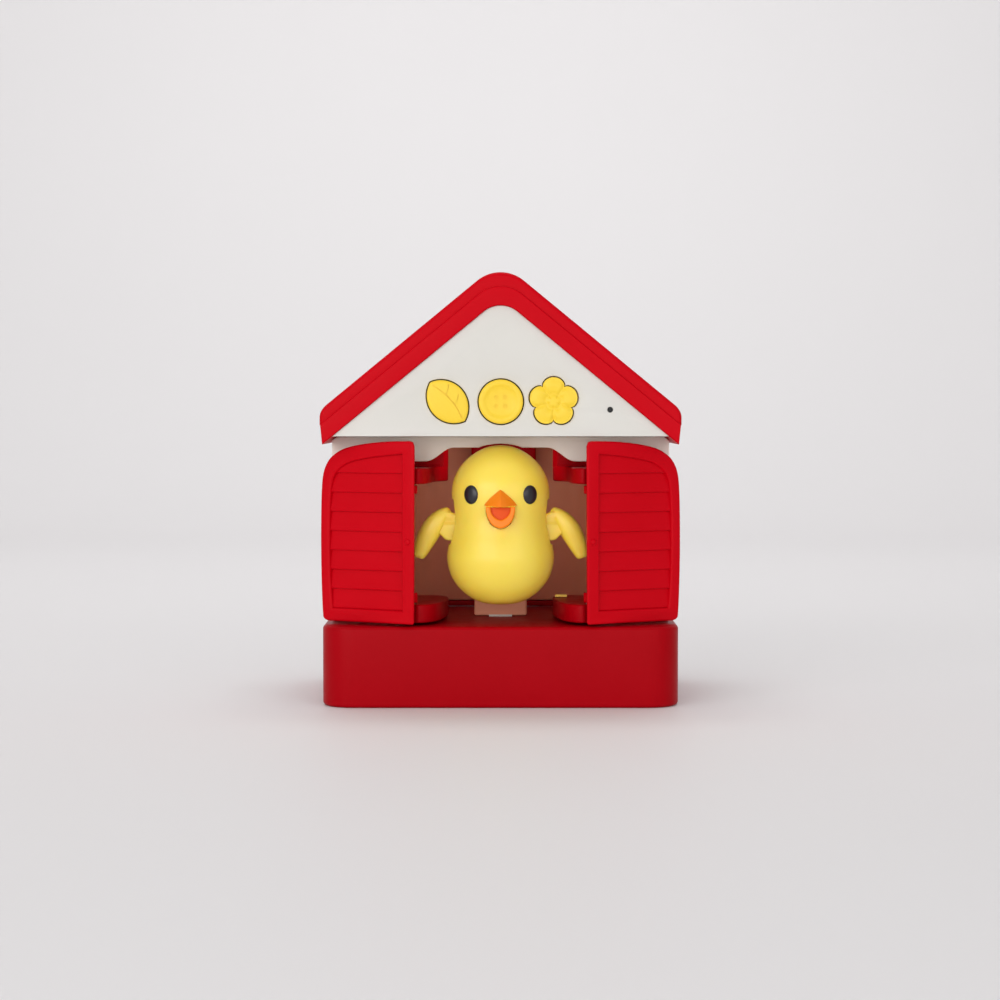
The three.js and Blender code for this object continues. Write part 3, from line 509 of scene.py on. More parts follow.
SLOT_FINISH = {
    "red_abs": RED_ABS, "white_abs": WHITE_ABS, "chick_yellow": CHICK_VINYL, "button_yellow": BUTTON_ABS,
    "beak_orange": BEAK_ABS, "mouth_red": MOUTH_ABS, "eye_black": EYE_BEAD, "grey_abs": GREY_ABS,
    "nylon": ACETAL, "board": BOARD, "steel": STEEL, "brass": BRASS, "cell_jacket": CELL_SLEEVE,
}


def dress_frame_nodes():
    """Gives every frame node the finish of its slot."""
    for part in frame["record"]["subparts"]:
        node = frame["nodes"][part["node"]]
        for slot in node.material_slots:
            slot.material = SLOT_FINISH[part["material_slot"]]
    for name, material in (("power_switch", BLACK_ABS), ("microphone", BLACK_ABS)):
        for slot in frame["nodes"][name].material_slots:
            slot.material = material


def finish_piece(obj, body, slot, *nodes, angle=32, finish=None):
    """Names the finish and the body of a new piece, and the frame nodes that it stands for."""
    smooth(obj, angle)
    obj.data.materials.clear()
    obj.data.materials.append(finish or SLOT_FINISH[slot])
    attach(obj, body)
    if nodes:
        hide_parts(*nodes)
    return obj


# ---------------------------------------------------------------- base
def make_base():
    """A deep tray turned over: rounded corners, a softened top edge and a slot for the chick's post."""
    half = BASE_HIGH.x
    corner_steps = 20
    boss_r, bore_r, pivot_r, slot_corner = 3.2, 1.5, 2.1, 0.8
    below, above = DECK - 6, DECK + 4
    outline = rounded_rect(-half, half, FRONT, -FRONT, BASE_CORNER, corner_steps)
    base = plate("base_moulding", [outline], 0, DECK, 1.5, "plan", rings=5)
    inner = rounded_rect(-half + BASE_WALL, half - BASE_WALL, FRONT + BASE_WALL, -FRONT - BASE_WALL,
                         BASE_CORNER - BASE_WALL, corner_steps)
    carve(base, punch("cavity", inner, -4, DECK - BASE_WALL, "plan"))
    carve(base, punch("post_slot", rounded_rect(*POST_SLOT, slot_corner, 4), below, above, "plan"))
    carve(base, punch("switch_window", rounded_rect(*SWITCH_WINDOW, slot_corner, 4), 40, 56))
    for _, side in SIDES:
        carve(base, rod("pivot_hole", pivot_r, below, above, (side * PIVOT[0], PIVOT[1])))
    bosses = []
    for place in BASE_SCREWS:
        boss = rod("boss", boss_r, PAN_TOP, DECK - BASE_WALL + 0.5, place, sides=24)
        bosses.append(carve(boss, rod("bore", bore_r, 0, 14, place, sides=16)))
    gather(base, *bosses)
    finish_piece(base, "house", "red_abs", "base_housing", finish=DARK_RED_AND_PAINTED_SHADE_ABS)


# ---------------------------------------------------------------- roof and walls
def ridge_line(half, drop, radius, steps=14):
    """One line across the roof from left eave to right eave, with the ridge rounded to a radius."""
    apex = ROOF_APEX - drop
    reach = radius * math.sin(ROOF_ANGLE)
    centre = apex - ROOF_SLOPE * reach - radius * math.cos(ROOF_ANGLE)
    lean = math.degrees(ROOF_ANGLE)
    return [(-half, apex - ROOF_SLOPE * half)] + arc(0, centre, radius, 90 + lean, 90 - lean, steps) + [
        (half, apex - ROOF_SLOPE * half)]


def eave_curve(corner, reach, side):
    """Rounds the eave's upper corner, from its upright side on to the slope."""
    x, z = corner
    low = Vector((x, z - reach))
    high = Vector((x - side * reach, z + ROOF_SLOPE * reach))
    middle = Vector(corner)
    points = []
    for i in range(9):
        t = i / 8
        points.append(tuple(low * (1 - t) ** 2 + middle * 2 * t * (1 - t) + high * t * t))
    return points


def make_roof():
    """Two stepped layers that run the whole depth of the house."""
    eave = CAP_HIGH.x
    round_eave, lip, trim_step = 2.6, 1.6, 0.7
    top = ridge_line(eave, 0, RIDGE_R)
    left_eave, right_eave = top[0], top[-1]
    left_curve = eave_curve(left_eave, round_eave, -1)
    right_curve = eave_curve(right_eave, round_eave, 1)
    under = ridge_line(eave - lip, CAP_DROP + lip, TRIM_RIDGE_R)
    side = ROOF_APEX - CAP_DROP + 0.05 - ROOF_SLOPE * eave
    rim = left_curve + top[1:-1] + right_curve[::-1] + [(eave, side), (eave - lip, side)] + under[::-1]
    rim += [(lip - eave, side), (-eave, side)]
    cap = plate("roof_outer_layer", [rim], CAP_LOW.y, CAP_HIGH.y, 1.5, "front", rings=5)
    finish_piece(cap, "house", "red_abs", "roof_cap")
    top = ridge_line(TRIM_HIGH.x, CAP_DROP, TRIM_RIDGE_R)
    under = ridge_line(TRIM_HIGH.x - trim_step, ROOF_DROP, PANEL_RIDGE_R)
    trim = plate("roof_inner_layer", [top + under[::-1]], TRIM_LOW.y, TRIM_HIGH.y, 0.5, "front", rings=4)
    finish_piece(trim, "house", "red_abs", "roof_trim")


def leaf_radius(angle, grow=0.0):
    """A pointed leaf: two arcs that meet at its tips."""
    length, width = 9.3, 6.7
    lean = math.radians(131.6)
    big = (length ** 2 + width ** 2) / (2 * width)
    off = big - width
    turn = angle - lean
    return -off * abs(math.sin(turn)) + math.sqrt((big + grow) ** 2 - (off * math.cos(turn)) ** 2)


def disc_radius(angle, grow=0.0):
    return 8.0 + grow


def flower_radius(angle, grow=0.0):
    """Five round petals, one of them upright."""
    notch, petal, fullness = 6.5, 2.35, 0.62
    lobe = abs(math.cos(2.5 * (angle - math.pi / 2)))
    return notch + petal * lobe ** fullness + grow


KEY_RADIUS = {"leaf": leaf_radius, "disc": disc_radius, "flower": flower_radius}


def key_outline(name, grow, steps=120):
    centre = KEY_CENTRES[name]
    points = []
    for i in range(steps):
        angle = TAU * i / steps
        radius = KEY_RADIUS[name](angle, grow)
        points.append((centre + radius * math.cos(angle), BUTTON_Z + radius * math.sin(angle)))
    return points


def make_gable():
    """The white gable face with its three key openings, and the soffit behind it."""
    edge = ROOF_DROP + 0.02
    half = (ROOF_APEX - edge - PANEL_LOW.z) / ROOF_SLOPE
    top = ridge_line(half, edge, PANEL_RIDGE_R)
    rim = [(-half, PANEL_LOW.z)] + top[1:-1] + [(half, PANEL_LOW.z)]
    holes = [key_outline(name, KEY_GAP) for name in KEY_CENTRES]
    mic = arc(MIC[0], MIC[1], MIC_R, 0, 350, 24)
    face = plate("gable_face", [rim[::-1]] + holes + [mic], PANEL_LOW.y, PANEL_LOW.y + WALL_T, 0.18, "front",
                 rings=2)
    reach, soffit_t = 56.5, 1.6
    soffit = block("soffit", (-reach, PANEL_LOW.y + WALL_T - 0.3, PANEL_LOW.z + 0.05),
                   (reach, PANEL_HIGH.y, PANEL_LOW.z + soffit_t))
    gather(face, soffit)
    finish_piece(face, "house", "white_abs", "gable_panel")


def make_front_wall():
    """The recessed wall with its curved valance over the doorway."""
    half = WALL_HIGH.x
    swing_start, swing_run, steps = 17.2, 10.6, 16
    swing = []
    for i in range(steps + 1):
        t = i / steps
        fall = (DOOR_HIGH - DOOR_LOW) * (0.5 - 0.5 * math.cos(math.pi * t))
        swing.append((swing_start + swing_run * t, DOOR_HIGH - fall))
    crown = [(0, 95.35), (2.5, 95.2), (5, 94.85), (6.6, 94.45), (8.0, DOOR_HIGH), (9.5, DOOR_HIGH)]
    jamb = [(DOOR_HALF - 0.5, DOOR_LOW), (DOOR_HALF, DOOR_LOW - 0.5), (DOOR_HALF, WALL_LOW.z)]
    right = crown + swing + jamb
    left = [(-x, z) for x, z in right[:0:-1]]
    shoulder = ROOF_APEX - ROOF_DROP - ROOF_SLOPE * half - EAVE_GAP
    top = WALL_HIGH.z
    outer = [(half, WALL_LOW.z), (half, shoulder), (half - 2, top), (2 - half, top), (-half, shoulder),
             (-half, WALL_LOW.z)]
    wall = plate("doorway_wall", [left + right + outer], WALL_LOW.y, WALL_HIGH.y, 0.4, "front", rings=3)
    # The wall takes the lighter, warmer white as painted light under the gable.
    finish_piece(wall, "house", "white_abs", "front_wall", finish=PAINTED_LIGHT_WALL_ABS)


def make_house_shell():
    """Side walls and the rear wall with its gable and speaker slots."""
    half = SHELL_HIGH.x
    low = SHELL_LOW.z
    eave = ROOF_APEX - ROOF_DROP - ROOF_SLOPE * half - EAVE_GAP
    top = ridge_line(half, ROOF_DROP + EAVE_GAP, PANEL_RIDGE_R)
    rim = [(-half, low)] + top + [(half, low)]
    slots = []
    longest, shorter, pitch, slot_half = 14, 1.6, 4.5, 0.9
    for row in range(-2, 3):
        reach = longest - shorter * row * row
        z = SPEAKER_Z + row * pitch
        slots.append(rounded_rect(-reach, reach, z - slot_half, z + slot_half, slot_half - 0.05, 5))
    rear = plate("house_rear_and_sides", [rim[::-1]] + slots, SHELL_HIGH.y - WALL_T, SHELL_HIGH.y, 0.5,
                 "front", rings=3)
    sides = []
    for label, side in SIDES:
        near, far = sorted((side * half, side * (half - WALL_T)))
        outline = rounded_rect(SHELL_LOW.y, SHELL_HIGH.y - 0.6, low, eave, 0.3, 2)
        sides.append(plate(f"side_wall_{label}", [outline], near, far, 0.25, "side", rings=2))
    gather(rear, *sides)
    finish_piece(rear, "house", "white_abs", "house_shell")


def u_outline(half, back, corner, front):
    """A U open to the front, from its right front end round the back to its left front end."""
    return [(half, front)] + arc(half - corner, back - corner, corner, 0, 90, 16) + arc(
        corner - half, back - corner, corner, 90, 180, 16) + [(-half, front)]


def make_niche():
    """The niche behind the doors, the red kerb round its floor and the red bracket under its ceiling."""
    front = LINER_LOW.y
    boss_r, bore_r = 4, 1.7
    out = u_outline(LINER_HALF, LINER_HIGH.y, LINER_CORNER, front)
    inner = u_outline(LINER_HALF - LINER_T, LINER_HIGH.y - LINER_T, LINER_CORNER - LINER_T, front)
    wall = plate("niche_lining", [out + inner[::-1]], LINER_LOW.z, NICHE_TOP + 0.2, 0.3, "plan", rings=2)
    ceiling = plate("niche_ceiling", [out], NICHE_TOP, LINER_HIGH.z, 0.3, "plan", rings=2)
    bosses = []
    for _, side in SIDES:
        place = (side * PIVOT[0], PIVOT[1])
        boss = rod("pivot_boss", boss_r, HIGH_ARM[1] + 0.5, NICHE_TOP + 0.3, place, edge=0.4)
        bosses.append(carve(boss, rod("pivot_bore", bore_r, 80, 96, place)))
    gather(wall, ceiling, *bosses)
    # The lining takes the orange tint as painted red bounce light inside the niche.
    finish_piece(wall, "house", "white_abs", "niche_liner", finish=RED_BOUNCE_WHITE_ABS)
    low, high = span("rear_kerb")
    kerb = plate("niche_kerb", [out + inner[::-1]], low.z, high.z, 0.35, "plan")
    # The kerb takes the darker red as painted shade inside the niche.
    finish_piece(kerb, "house", "red_abs", "rear_kerb", finish=DARK_RED_AND_PAINTED_SHADE_ABS)
    low, high = span("ceiling_bracket")
    hanger = block("ceiling_hanger", low, high, 0.8)
    # The bracket takes the darker red as painted shade under the niche's ceiling.
    finish_piece(hanger, "house", "red_abs", "ceiling_bracket", finish=DARK_RED_AND_PAINTED_SHADE_ABS)


# ---------------------------------------------------------------- buttons
def key_cap(name, profile, relief=None, steps=120):
    """A key whose face is a spun profile, of (share of radius, depth), stretched to the key's outline."""
    radius_at = KEY_RADIUS[name]
    centre = KEY_CENTRES[name]

    def place(x, y, z):
        share = math.hypot(x, y)
        angle = math.atan2(y, x)
        reach = share * radius_at(angle)
        depth = z + (relief(share, angle, z) if relief else 0)
        return (centre + reach * math.cos(angle), KEY_FACE + depth, BUTTON_Z + reach * math.sin(angle))

    return turned(f"{name}_key", profile, steps, place)


KEY_SIDE = [(0.985, 0.35), (1.0, 0.8), (1.0, 3.3), (0, 3.3)]


def swelling(value, centre, width, power=2):
    """A smooth bump that is 1 at its centre and fades over a width."""
    return math.exp(-(abs(value - centre) / width) ** power)


def flower_relief(share, angle, depth):
    """Puffed petals: a crease between neighbours and a round eye in the middle."""
    if depth > 1:
        return 0
    petal_turn = TAU / 5
    turn = (angle - math.pi / 2 + petal_turn / 2) % petal_turn
    off = min(turn, petal_turn - turn)
    crease = 0.55 * swelling(off, 0, 0.15) * min(1, max(0, (share - 0.3) / 0.2))
    ring = 0.35 * swelling(share, 0.33, 0.07)
    puff = -0.45 * swelling(share, 0.66, 0.24)
    eye = -0.35 * swelling(share, 0, 0.24, 4)
    return crease + ring + puff + eye


def make_buttons():
    """The flower, disc and leaf keys, each proud of the gable's face."""
    rows, flower_depth = 22, 0.45
    flower = [(i / rows, flower_depth) for i in range(rows)] + KEY_SIDE
    petals = key_cap("flower", flower, flower_relief, 160)
    finish_piece(petals, "flower_button", "button_yellow", "flower_button", angle=60)

    dished = [(0, 0.75), (0.3, 0.72), (0.58, 0.62), (0.68, 0.42), (0.74, 0.15), (0.8, 0.02), (0.88, 0.0),
              (0.94, 0.08)]
    disc = key_cap("disc", dished + KEY_SIDE, steps=96)
    hole_r, hole_offset, hole_depth = 0.72, 1.6, 1.15
    for dx in (-hole_offset, hole_offset):
        for dz in (-hole_offset, hole_offset):
            carve(disc, rod("thread_hole", hole_r, KEY_FACE - 1, KEY_FACE + hole_depth,
                            (KEY_CENTRES["disc"] + dx, BUTTON_Z + dz), axis="y", sides=24))
    finish_piece(disc, "disc_button", "button_yellow", "disc_button")

    domed = [(0, 0.0), (0.3, 0.03), (0.55, 0.1), (0.75, 0.2), (0.88, 0.32), (0.94, 0.42)]
    rim = [(0.98, 0.62), (1.0, 0.95), (1.0, 3.3), (0, 3.3)]
    leaf = key_cap("leaf", domed + rim, steps=144)
    cx = KEY_CENTRES["leaf"]
    veins = [[(-5.2, 5.8), (-1.6, 3.4), (1.6, 0.2), (3.8, -3.0), (5.2, -5.9)],
             [(-0.6, 2.5), (0.2, 4.6), (0.4, 6.4)],
             [(2.6, -1.1), (3.6, 0.9), (4.0, 2.7)]]
    vein_half, vein_depth = 0.14, 0.55
    for vein in veins:
        path = soft_path(vein, 5)
        right = [(cx + x + vein_half, BUTTON_Z + z + vein_half) for x, z in path]
        left = [(cx + x - vein_half, BUTTON_Z + z - vein_half) for x, z in path[::-1]]
        carve(leaf, punch("vein", right + left, KEY_FACE - 1, KEY_FACE + vein_depth))
    finish_piece(leaf, "leaf_button", "button_yellow", "leaf_button")


# ---------------------------------------------------------------- shutters and door arms
def shutter_rim():
    """A shutter's outline seen square on: straight inner edge, big round outer shoulder."""
    low, high = SHUTTER_LOW, SHUTTER_HIGH
    outer = soft_path([(36.6, low), (38.4, low + 0.8), (39.0, low + 3.2), (39.5, 45), (39.7, 58), (39.6, 70),
                       (39.3, 79), (38.6, 84.6), (36.9, 88.6), (34.2, 91.4), (29.5, 93.8), (22, 95.4),
                       (12, 96.4), (2.2, high)], 5)
    return [(0.35, low + 0.5), (0.8, low)] + outer + [(0.7, high - 0.4), (0.0, high - 2)]


def shutter_window(grow=0.0):
    """The louvred opening in the shutter's frame."""
    g = grow
    outer = soft_path([(34.6 + g, WINDOW_LOW - g), (35.5 + g, 46), (35.8 + g, 60), (35.5 + g, 74),
                       (34.6 + g, 81.6), (32.4 + g, 85.6 + g), (27.6, 88.6 + g), (20, 90.3 + g),
                       (12, 91.3 + g), (WINDOW_U - g, WINDOW_HIGH + g)], 5)
    return [(WINDOW_U - g, WINDOW_LOW - g)] + outer


def slat_depth(z):
    """How far the louvres stand behind the frame's face: each one leans out towards its lower edge."""
    pitch = (WINDOW_HIGH - WINDOW_LOW) / SLATS
    share = min(max((z - WINDOW_LOW) / pitch, 0), SLATS - 1e-6) % 1
    lip, curl, lean = 0.07, 0.35, 0.95
    if share < lip:
        return SLAT_FACE + curl * (1 - share / lip) ** 2
    return SLAT_FACE + lean * (share - lip) / (1 - lip)


def make_shutter():
    """The right shutter, modelled square on with its face at depth 0."""
    frame_part = plate("shutter", [shutter_rim(), shutter_window()], 0, SHUTTER_T, 0.75, "front", rings=4)

    lip, reach = 0.6, 9

    def cut_back(x, y, z):
        """Slants the leading edge so that the open shutter shows no side face."""
        fade = max(0.0, 1 - x / reach)
        return (x + max(0.0, y - lip) * math.tan(SHUTTER_SLANT) * fade, y, z)

    reshape(frame_part, cut_back)
    slats = punch("slats", shutter_window(0.9), 1.0, 3.9)
    take(slats)
    bpy.ops.object.mode_set(mode="EDIT")
    pitch = (WINDOW_HIGH - WINDOW_LOW) / SLATS
    for k in range(SLATS + 1):
        for offset in (-0.02, 0.02, 0.15, 0.32, 0.5):
            height = (WINDOW_LOW + k * pitch + offset) * MM
            bpy.ops.mesh.select_all(action="SELECT")
            bpy.ops.mesh.bisect(plane_co=(0, 0, height), plane_no=(0, 0, 1))
    bpy.ops.object.mode_set(mode="OBJECT")
    reshape(slats, lambda x, y, z: (x, slat_depth(z) if y < 2 else y, z))
    knob_u, knob_z = 2.6, 60.3
    knob = turned("knob", [(0, 0.8), (1.15, 0.8), (1.15, -0.15), (0.95, -0.5), (0.55, -0.68), (0, -0.74)], 28,
                  lambda x, y, z: (x + knob_u, z, y + knob_z))
    parts = [slats, knob]
    for z0, z1 in KNUCKLES:
        parts.append(block("knuckle_lug", (3.6, SHUTTER_T - 0.6, z0), (8.4, 9.1, z1), 0.4))
    gather(frame_part, *parts)
    cos, sin = math.cos(SHUTTER_SLANT), math.sin(SHUTTER_SLANT)
    cx, cy = SHUTTER_CORNER
    reshape(frame_part, lambda u, v, z: (cx + u * cos - v * sin, cy + u * sin + v * cos, z))
    barrels = []
    barrel_r, bore_r = 1.9, 1.35
    for z0, z1 in KNUCKLES:
        barrel = rod("knuckle", barrel_r, z0, z1, HINGE, sides=36, edge=0.3)
        barrels.append(carve(barrel, rod("bore", bore_r, z0 - 1, z1 + 1, HINGE, sides=24)))
    return gather(frame_part, *barrels)


LOW_EDGE = [(29.8, -45.4), (26.9, -44), (24, -40.2), (22, -33.6), (20.6, -25), (19.9, -18), (19.7, -11),
            (19.8, -6.5)]
HIGH_EDGE = [(29.8, -45.4), (26.9, -42.5), (25.6, -37), (25.1, -30), (24.5, -22), (23, -15.5), (20.4, -10),
             (19.8, -6.5)]


def arm_heel():
    """The rounded heel behind the arm's shaft."""
    heel = []
    steps, inner_r, outer_r = 12, 9.7, 6.8
    for i in range(1, steps + 1):
        angle = math.pi * (1 - i / steps)
        radius = inner_r - (inner_r - outer_r) * min(1, 2 * i / steps)
        heel.append((PIVOT[0] + radius * math.cos(angle), PIVOT[1] + radius * math.sin(angle)))
    return heel


def arm_outline(edge):
    """Plan of a door arm: a bar that swells towards its shaft and wraps round it."""
    nose = (32.2, -43.7)
    front = [(35.4, -40.4), (35, -42.2), (33.6, -43.4), nose]
    return soft_path(front, 3)[:-1] + soft_path([nose] + edge, 5) + arm_heel()


def make_door_arm():
    """Low and high plates on one shaft, joined by a thin web, and a hub round the ceiling's boss."""
    pin_r, shaft_r, well_r = 1.55, 1.75, 4.6
    low = plate("door_arm", [arm_outline(LOW_EDGE)], *LOW_ARM, 0.7, "plan", rings=3)
    high = plate("high_plate", [arm_outline(HIGH_EDGE)], *HIGH_ARM, 0.7, "plan", rings=3)
    web = block("web", (PIVOT[0] + 5.6, PIVOT[1] - 0.5, LOW_ARM[1] - 1),
                (PIVOT[0] + 6.85, PIVOT[1] + 2.5, HIGH_ARM[0] + 1), 0.3)
    for part in (low, high):
        carve(part, rod("pin_hole", pin_r, 32, 85.5, HINGE, sides=24))
        carve(part, rod("shaft_hole_low", shaft_r, 20, 34.5, PIVOT, sides=24))
        carve(part, rod("shaft_hole_high", shaft_r, 82.5, 99, PIVOT, sides=24))
    cheek = soft_path([(21.4, -12), (19.9, -8.6), (19.8, -6.5)], 4)
    plan = [(35.9, -12)] + cheek[:-1] + arm_heel()
    hub = plate("arm_hub", [plan], HIGH_ARM[1] - 0.8, HUB_TOP, 0.6, "plan", rings=3)
    carve(hub, rod("boss_well", well_r, HIGH_ARM[1] - 2, HUB_TOP + 2, PIVOT, sides=32))
    return gather(low, high, hub, web)


def make_hinge_pins():
    """Steel pins, thick where they turn and waisted between the knuckles."""
    thick, waist, taper, sunk = 1.25, 0.55, 0.8, 1.5
    low, high = LOW_ARM[0] + sunk, HIGH_ARM[1] - sunk
    below, above = KNUCKLES[0][1], KNUCKLES[1][0]
    rim = [(0, low), (thick, low), (thick, below), (waist, below + taper), (waist, above - taper),
           (thick, above), (thick, high), (0, high)]
    for label, side in SIDES:
        pin = turned(f"{label}_waisted_pin", rim, 24, lambda x, y, z: (x + side * HINGE[0], y + HINGE[1], z))
        finish_piece(pin, f"{label}_door_arm", "steel", f"{label}_hinge_pin")


def make_doors():
    make_hinge_pins()
    shutter = make_shutter()
    arm = make_door_arm()
    pieces = {"right": (shutter, arm)}
    pieces["left"] = (flip_sides(copy_of(shutter, "left_twin")), flip_sides(copy_of(arm, "left_arm_twin")))
    for label, (leaf, carrier) in pieces.items():
        leaf.name = f"{label}_louvred_shutter"
        carrier.name = f"{label}_swing_arm"
        finish_piece(leaf, f"{label}_shutter", "red_abs", f"{label}_shutter", angle=28)
        # The arms take the darker red as painted shade behind the shutters.
        finish_piece(carrier, f"{label}_door_arm", "red_abs", f"{label}_door_arm", finish=DARK_RED_AND_PAINTED_SHADE_ABS)


# ---------------------------------------------------------------- chick
CHICK_KEYS = [(0, 36.6), (5, 36.95), (9.4, 38.3), (13.4, 41), (16.6, 44.5), (18.7, 48.7), (19.6, 53.8),
              (18.9, 59), (17.6, 64.2), (17.15, 68.6), (17.6, 73.2), (17.9, 77.4), (17.3, 82), (15.1, 86.6),
              (11.9, 90.2), (8.2, 92.8), (4.3, 94.4), (0, 95)]
WING_HALF = 4.3
SKIN = 1.7
NECK = (0, 58)
NECK_R = 4.8


def body_skin(inset):
    """The chick's round body as a spun profile, drawn in by an inset for its inside."""
    path = soft_path(CHICK_KEYS, 5)
    profile = []
    for i, (radius, z) in enumerate(path):
        ahead = path[min(i + 1, len(path) - 1)]
        behind = path[max(i - 1, 0)]
        along = Vector((ahead[0] - behind[0], ahead[1] - behind[1])).normalized()
        profile.append((max(0.0, radius - inset * along.y), z + inset * along.x))
    profile[0] = (0, CHICK_KEYS[0][1] + inset)
    profile[-1] = (0, CHICK_KEYS[-1][1] - inset)
    return turned("chick_skin", profile, 72, lambda x, y, z: (x, y * DEPTH_SQUASH + CHICK_Y, z))


def make_chick_body():
    """Two hollow half shells that meet at a fine seam behind the wings."""
    mouth = soft_path([(5.3, 73.4), (5.35, 71), (4.75, 68.6), (3.2, 66.3), (0, 65.0), (-3.2, 66.3),
                       (-4.75, 68.6), (-5.35, 71), (-5.3, 73.4)], 5) + [(0, 76.4)]
    slot_half, slot_low, slot_high = WING_HALF + 0.4, 58.6, 75.3
    seam = 0.12
    for name, low, high in (("chick_front", -90, SEAM_Y), ("chick_back", SEAM_Y + seam, 40)):
        shell = body_skin(0)
        carve(shell, body_skin(SKIN))
        keep = block("keep", (-40, low, 0), (40, high, 130))
        combine(shell, keep, "INTERSECT")
        if name == "chick_front":
            carve(shell, punch("mouth", mouth, FACE_Y - 8, FACE_Y + 5))
            for _, side in SIDES:
                x0, x1 = sorted((side * 11, side * 24))
                carve(shell, block("wing_slot", (x0, CHICK_Y - slot_half, slot_low),
                                   (x1, CHICK_Y + slot_half, slot_high), 0.5))
        else:
            carve(shell, rod("neck_hole", NECK_R + 0.4, CHICK_Y, 10, NECK, axis="y", sides=32))
        shell.name = name
        finish_piece(shell, "chick_carriage", "chick_yellow", f"{name}_shell", angle=40)


def make_wing():
    """The right wing: a bent paddle with a tongue that enters the body."""
    root, bend, tip = Vector((18.6, 71.4)), Vector((25.9, 66.2)), Vector((30.2, 53.7))
    tongue_half = 3.0

    def place(x, y, z):
        t = min(max((1 - z) / 2, 0), 1)
        centre = root * (1 - t) ** 2 + bend * 2 * t * (1 - t) + tip * t * t
        along = ((bend - root) * (1 - t) + (tip - bend) * t).normalized()
        across = Vector((along.y, -along.x))
        ring = math.hypot(x, y)
        fill = min(1, ring) ** (0.5 if t < 0.5 else 0.23)
        angle = math.atan2(y, x)
        wide = (2.3 + 1.6 * math.sin(math.pi * min(1, t * 0.9))) * fill
        deep = (3.4 + 0.9 * math.sin(math.pi * min(1, t * 1.1))) * fill
        cos, sin = math.cos(angle), math.sin(angle)
        a = math.copysign(abs(cos) ** 0.8, cos) * wide
        d = math.copysign(abs(sin) ** 0.85, sin) * deep
        spread = centre + across * a
        return (spread.x, CHICK_Y + d, spread.y)

    wing = ball("wing", 48, 40, place)
    outline = [(14.2, 62.6), (13.3, 65.4), (14.6, 68.4), (18.6, 70.6), (22.4, 70.2), (23.8, 67), (22.9, 63.4),
               (21.3, 61.6), (19.7, 60.3), (16.4, 60.3)]
    tongue = plate("tongue", [soft_path(outline, 5, closed=True)], CHICK_Y - tongue_half,
                   CHICK_Y + tongue_half, 0.8, "front")
    weld(wing, tongue)
    carve(wing, rod("pin_hole", 0.9, CHICK_Y - 9, CHICK_Y + 9, WING_AXIS, axis="y", sides=16))
    return wing


def make_wings():
    """The right wing and its mirrored twin."""
    right = make_wing()
    left = flip_sides(copy_of(right, "left_wing_twin"))
    for label, wing in (("right", right), ("left", left)):
        wing.name = f"{label}_wing_paddle"
        finish_piece(wing, f"{label}_wing", "chick_yellow", f"{label}_wing", angle=50)


def make_eyes():
    """Oval black beads set into the face."""
    apart, forward = 10.6, 13.55
    half_wide, half_deep, half_high = 3.1, 1.1, 3.42
    turn = math.atan2(apart, 14.0)
    for label, side in SIDES:
        def place(x, y, z):
            across, deep = half_wide * x, half_deep * y
            cos, sin = math.cos(side * turn), math.sin(side * turn)
            return (side * apart + across * cos - deep * sin, CHICK_Y - forward + across * sin + deep * cos,
                    HEAD_Z + half_high * z)
        bead = ball(f"{label}_eye_bead", 40, 24, place)
        finish_piece(bead, "chick_carriage", "eye_black", f"{label}_eye", angle=60)


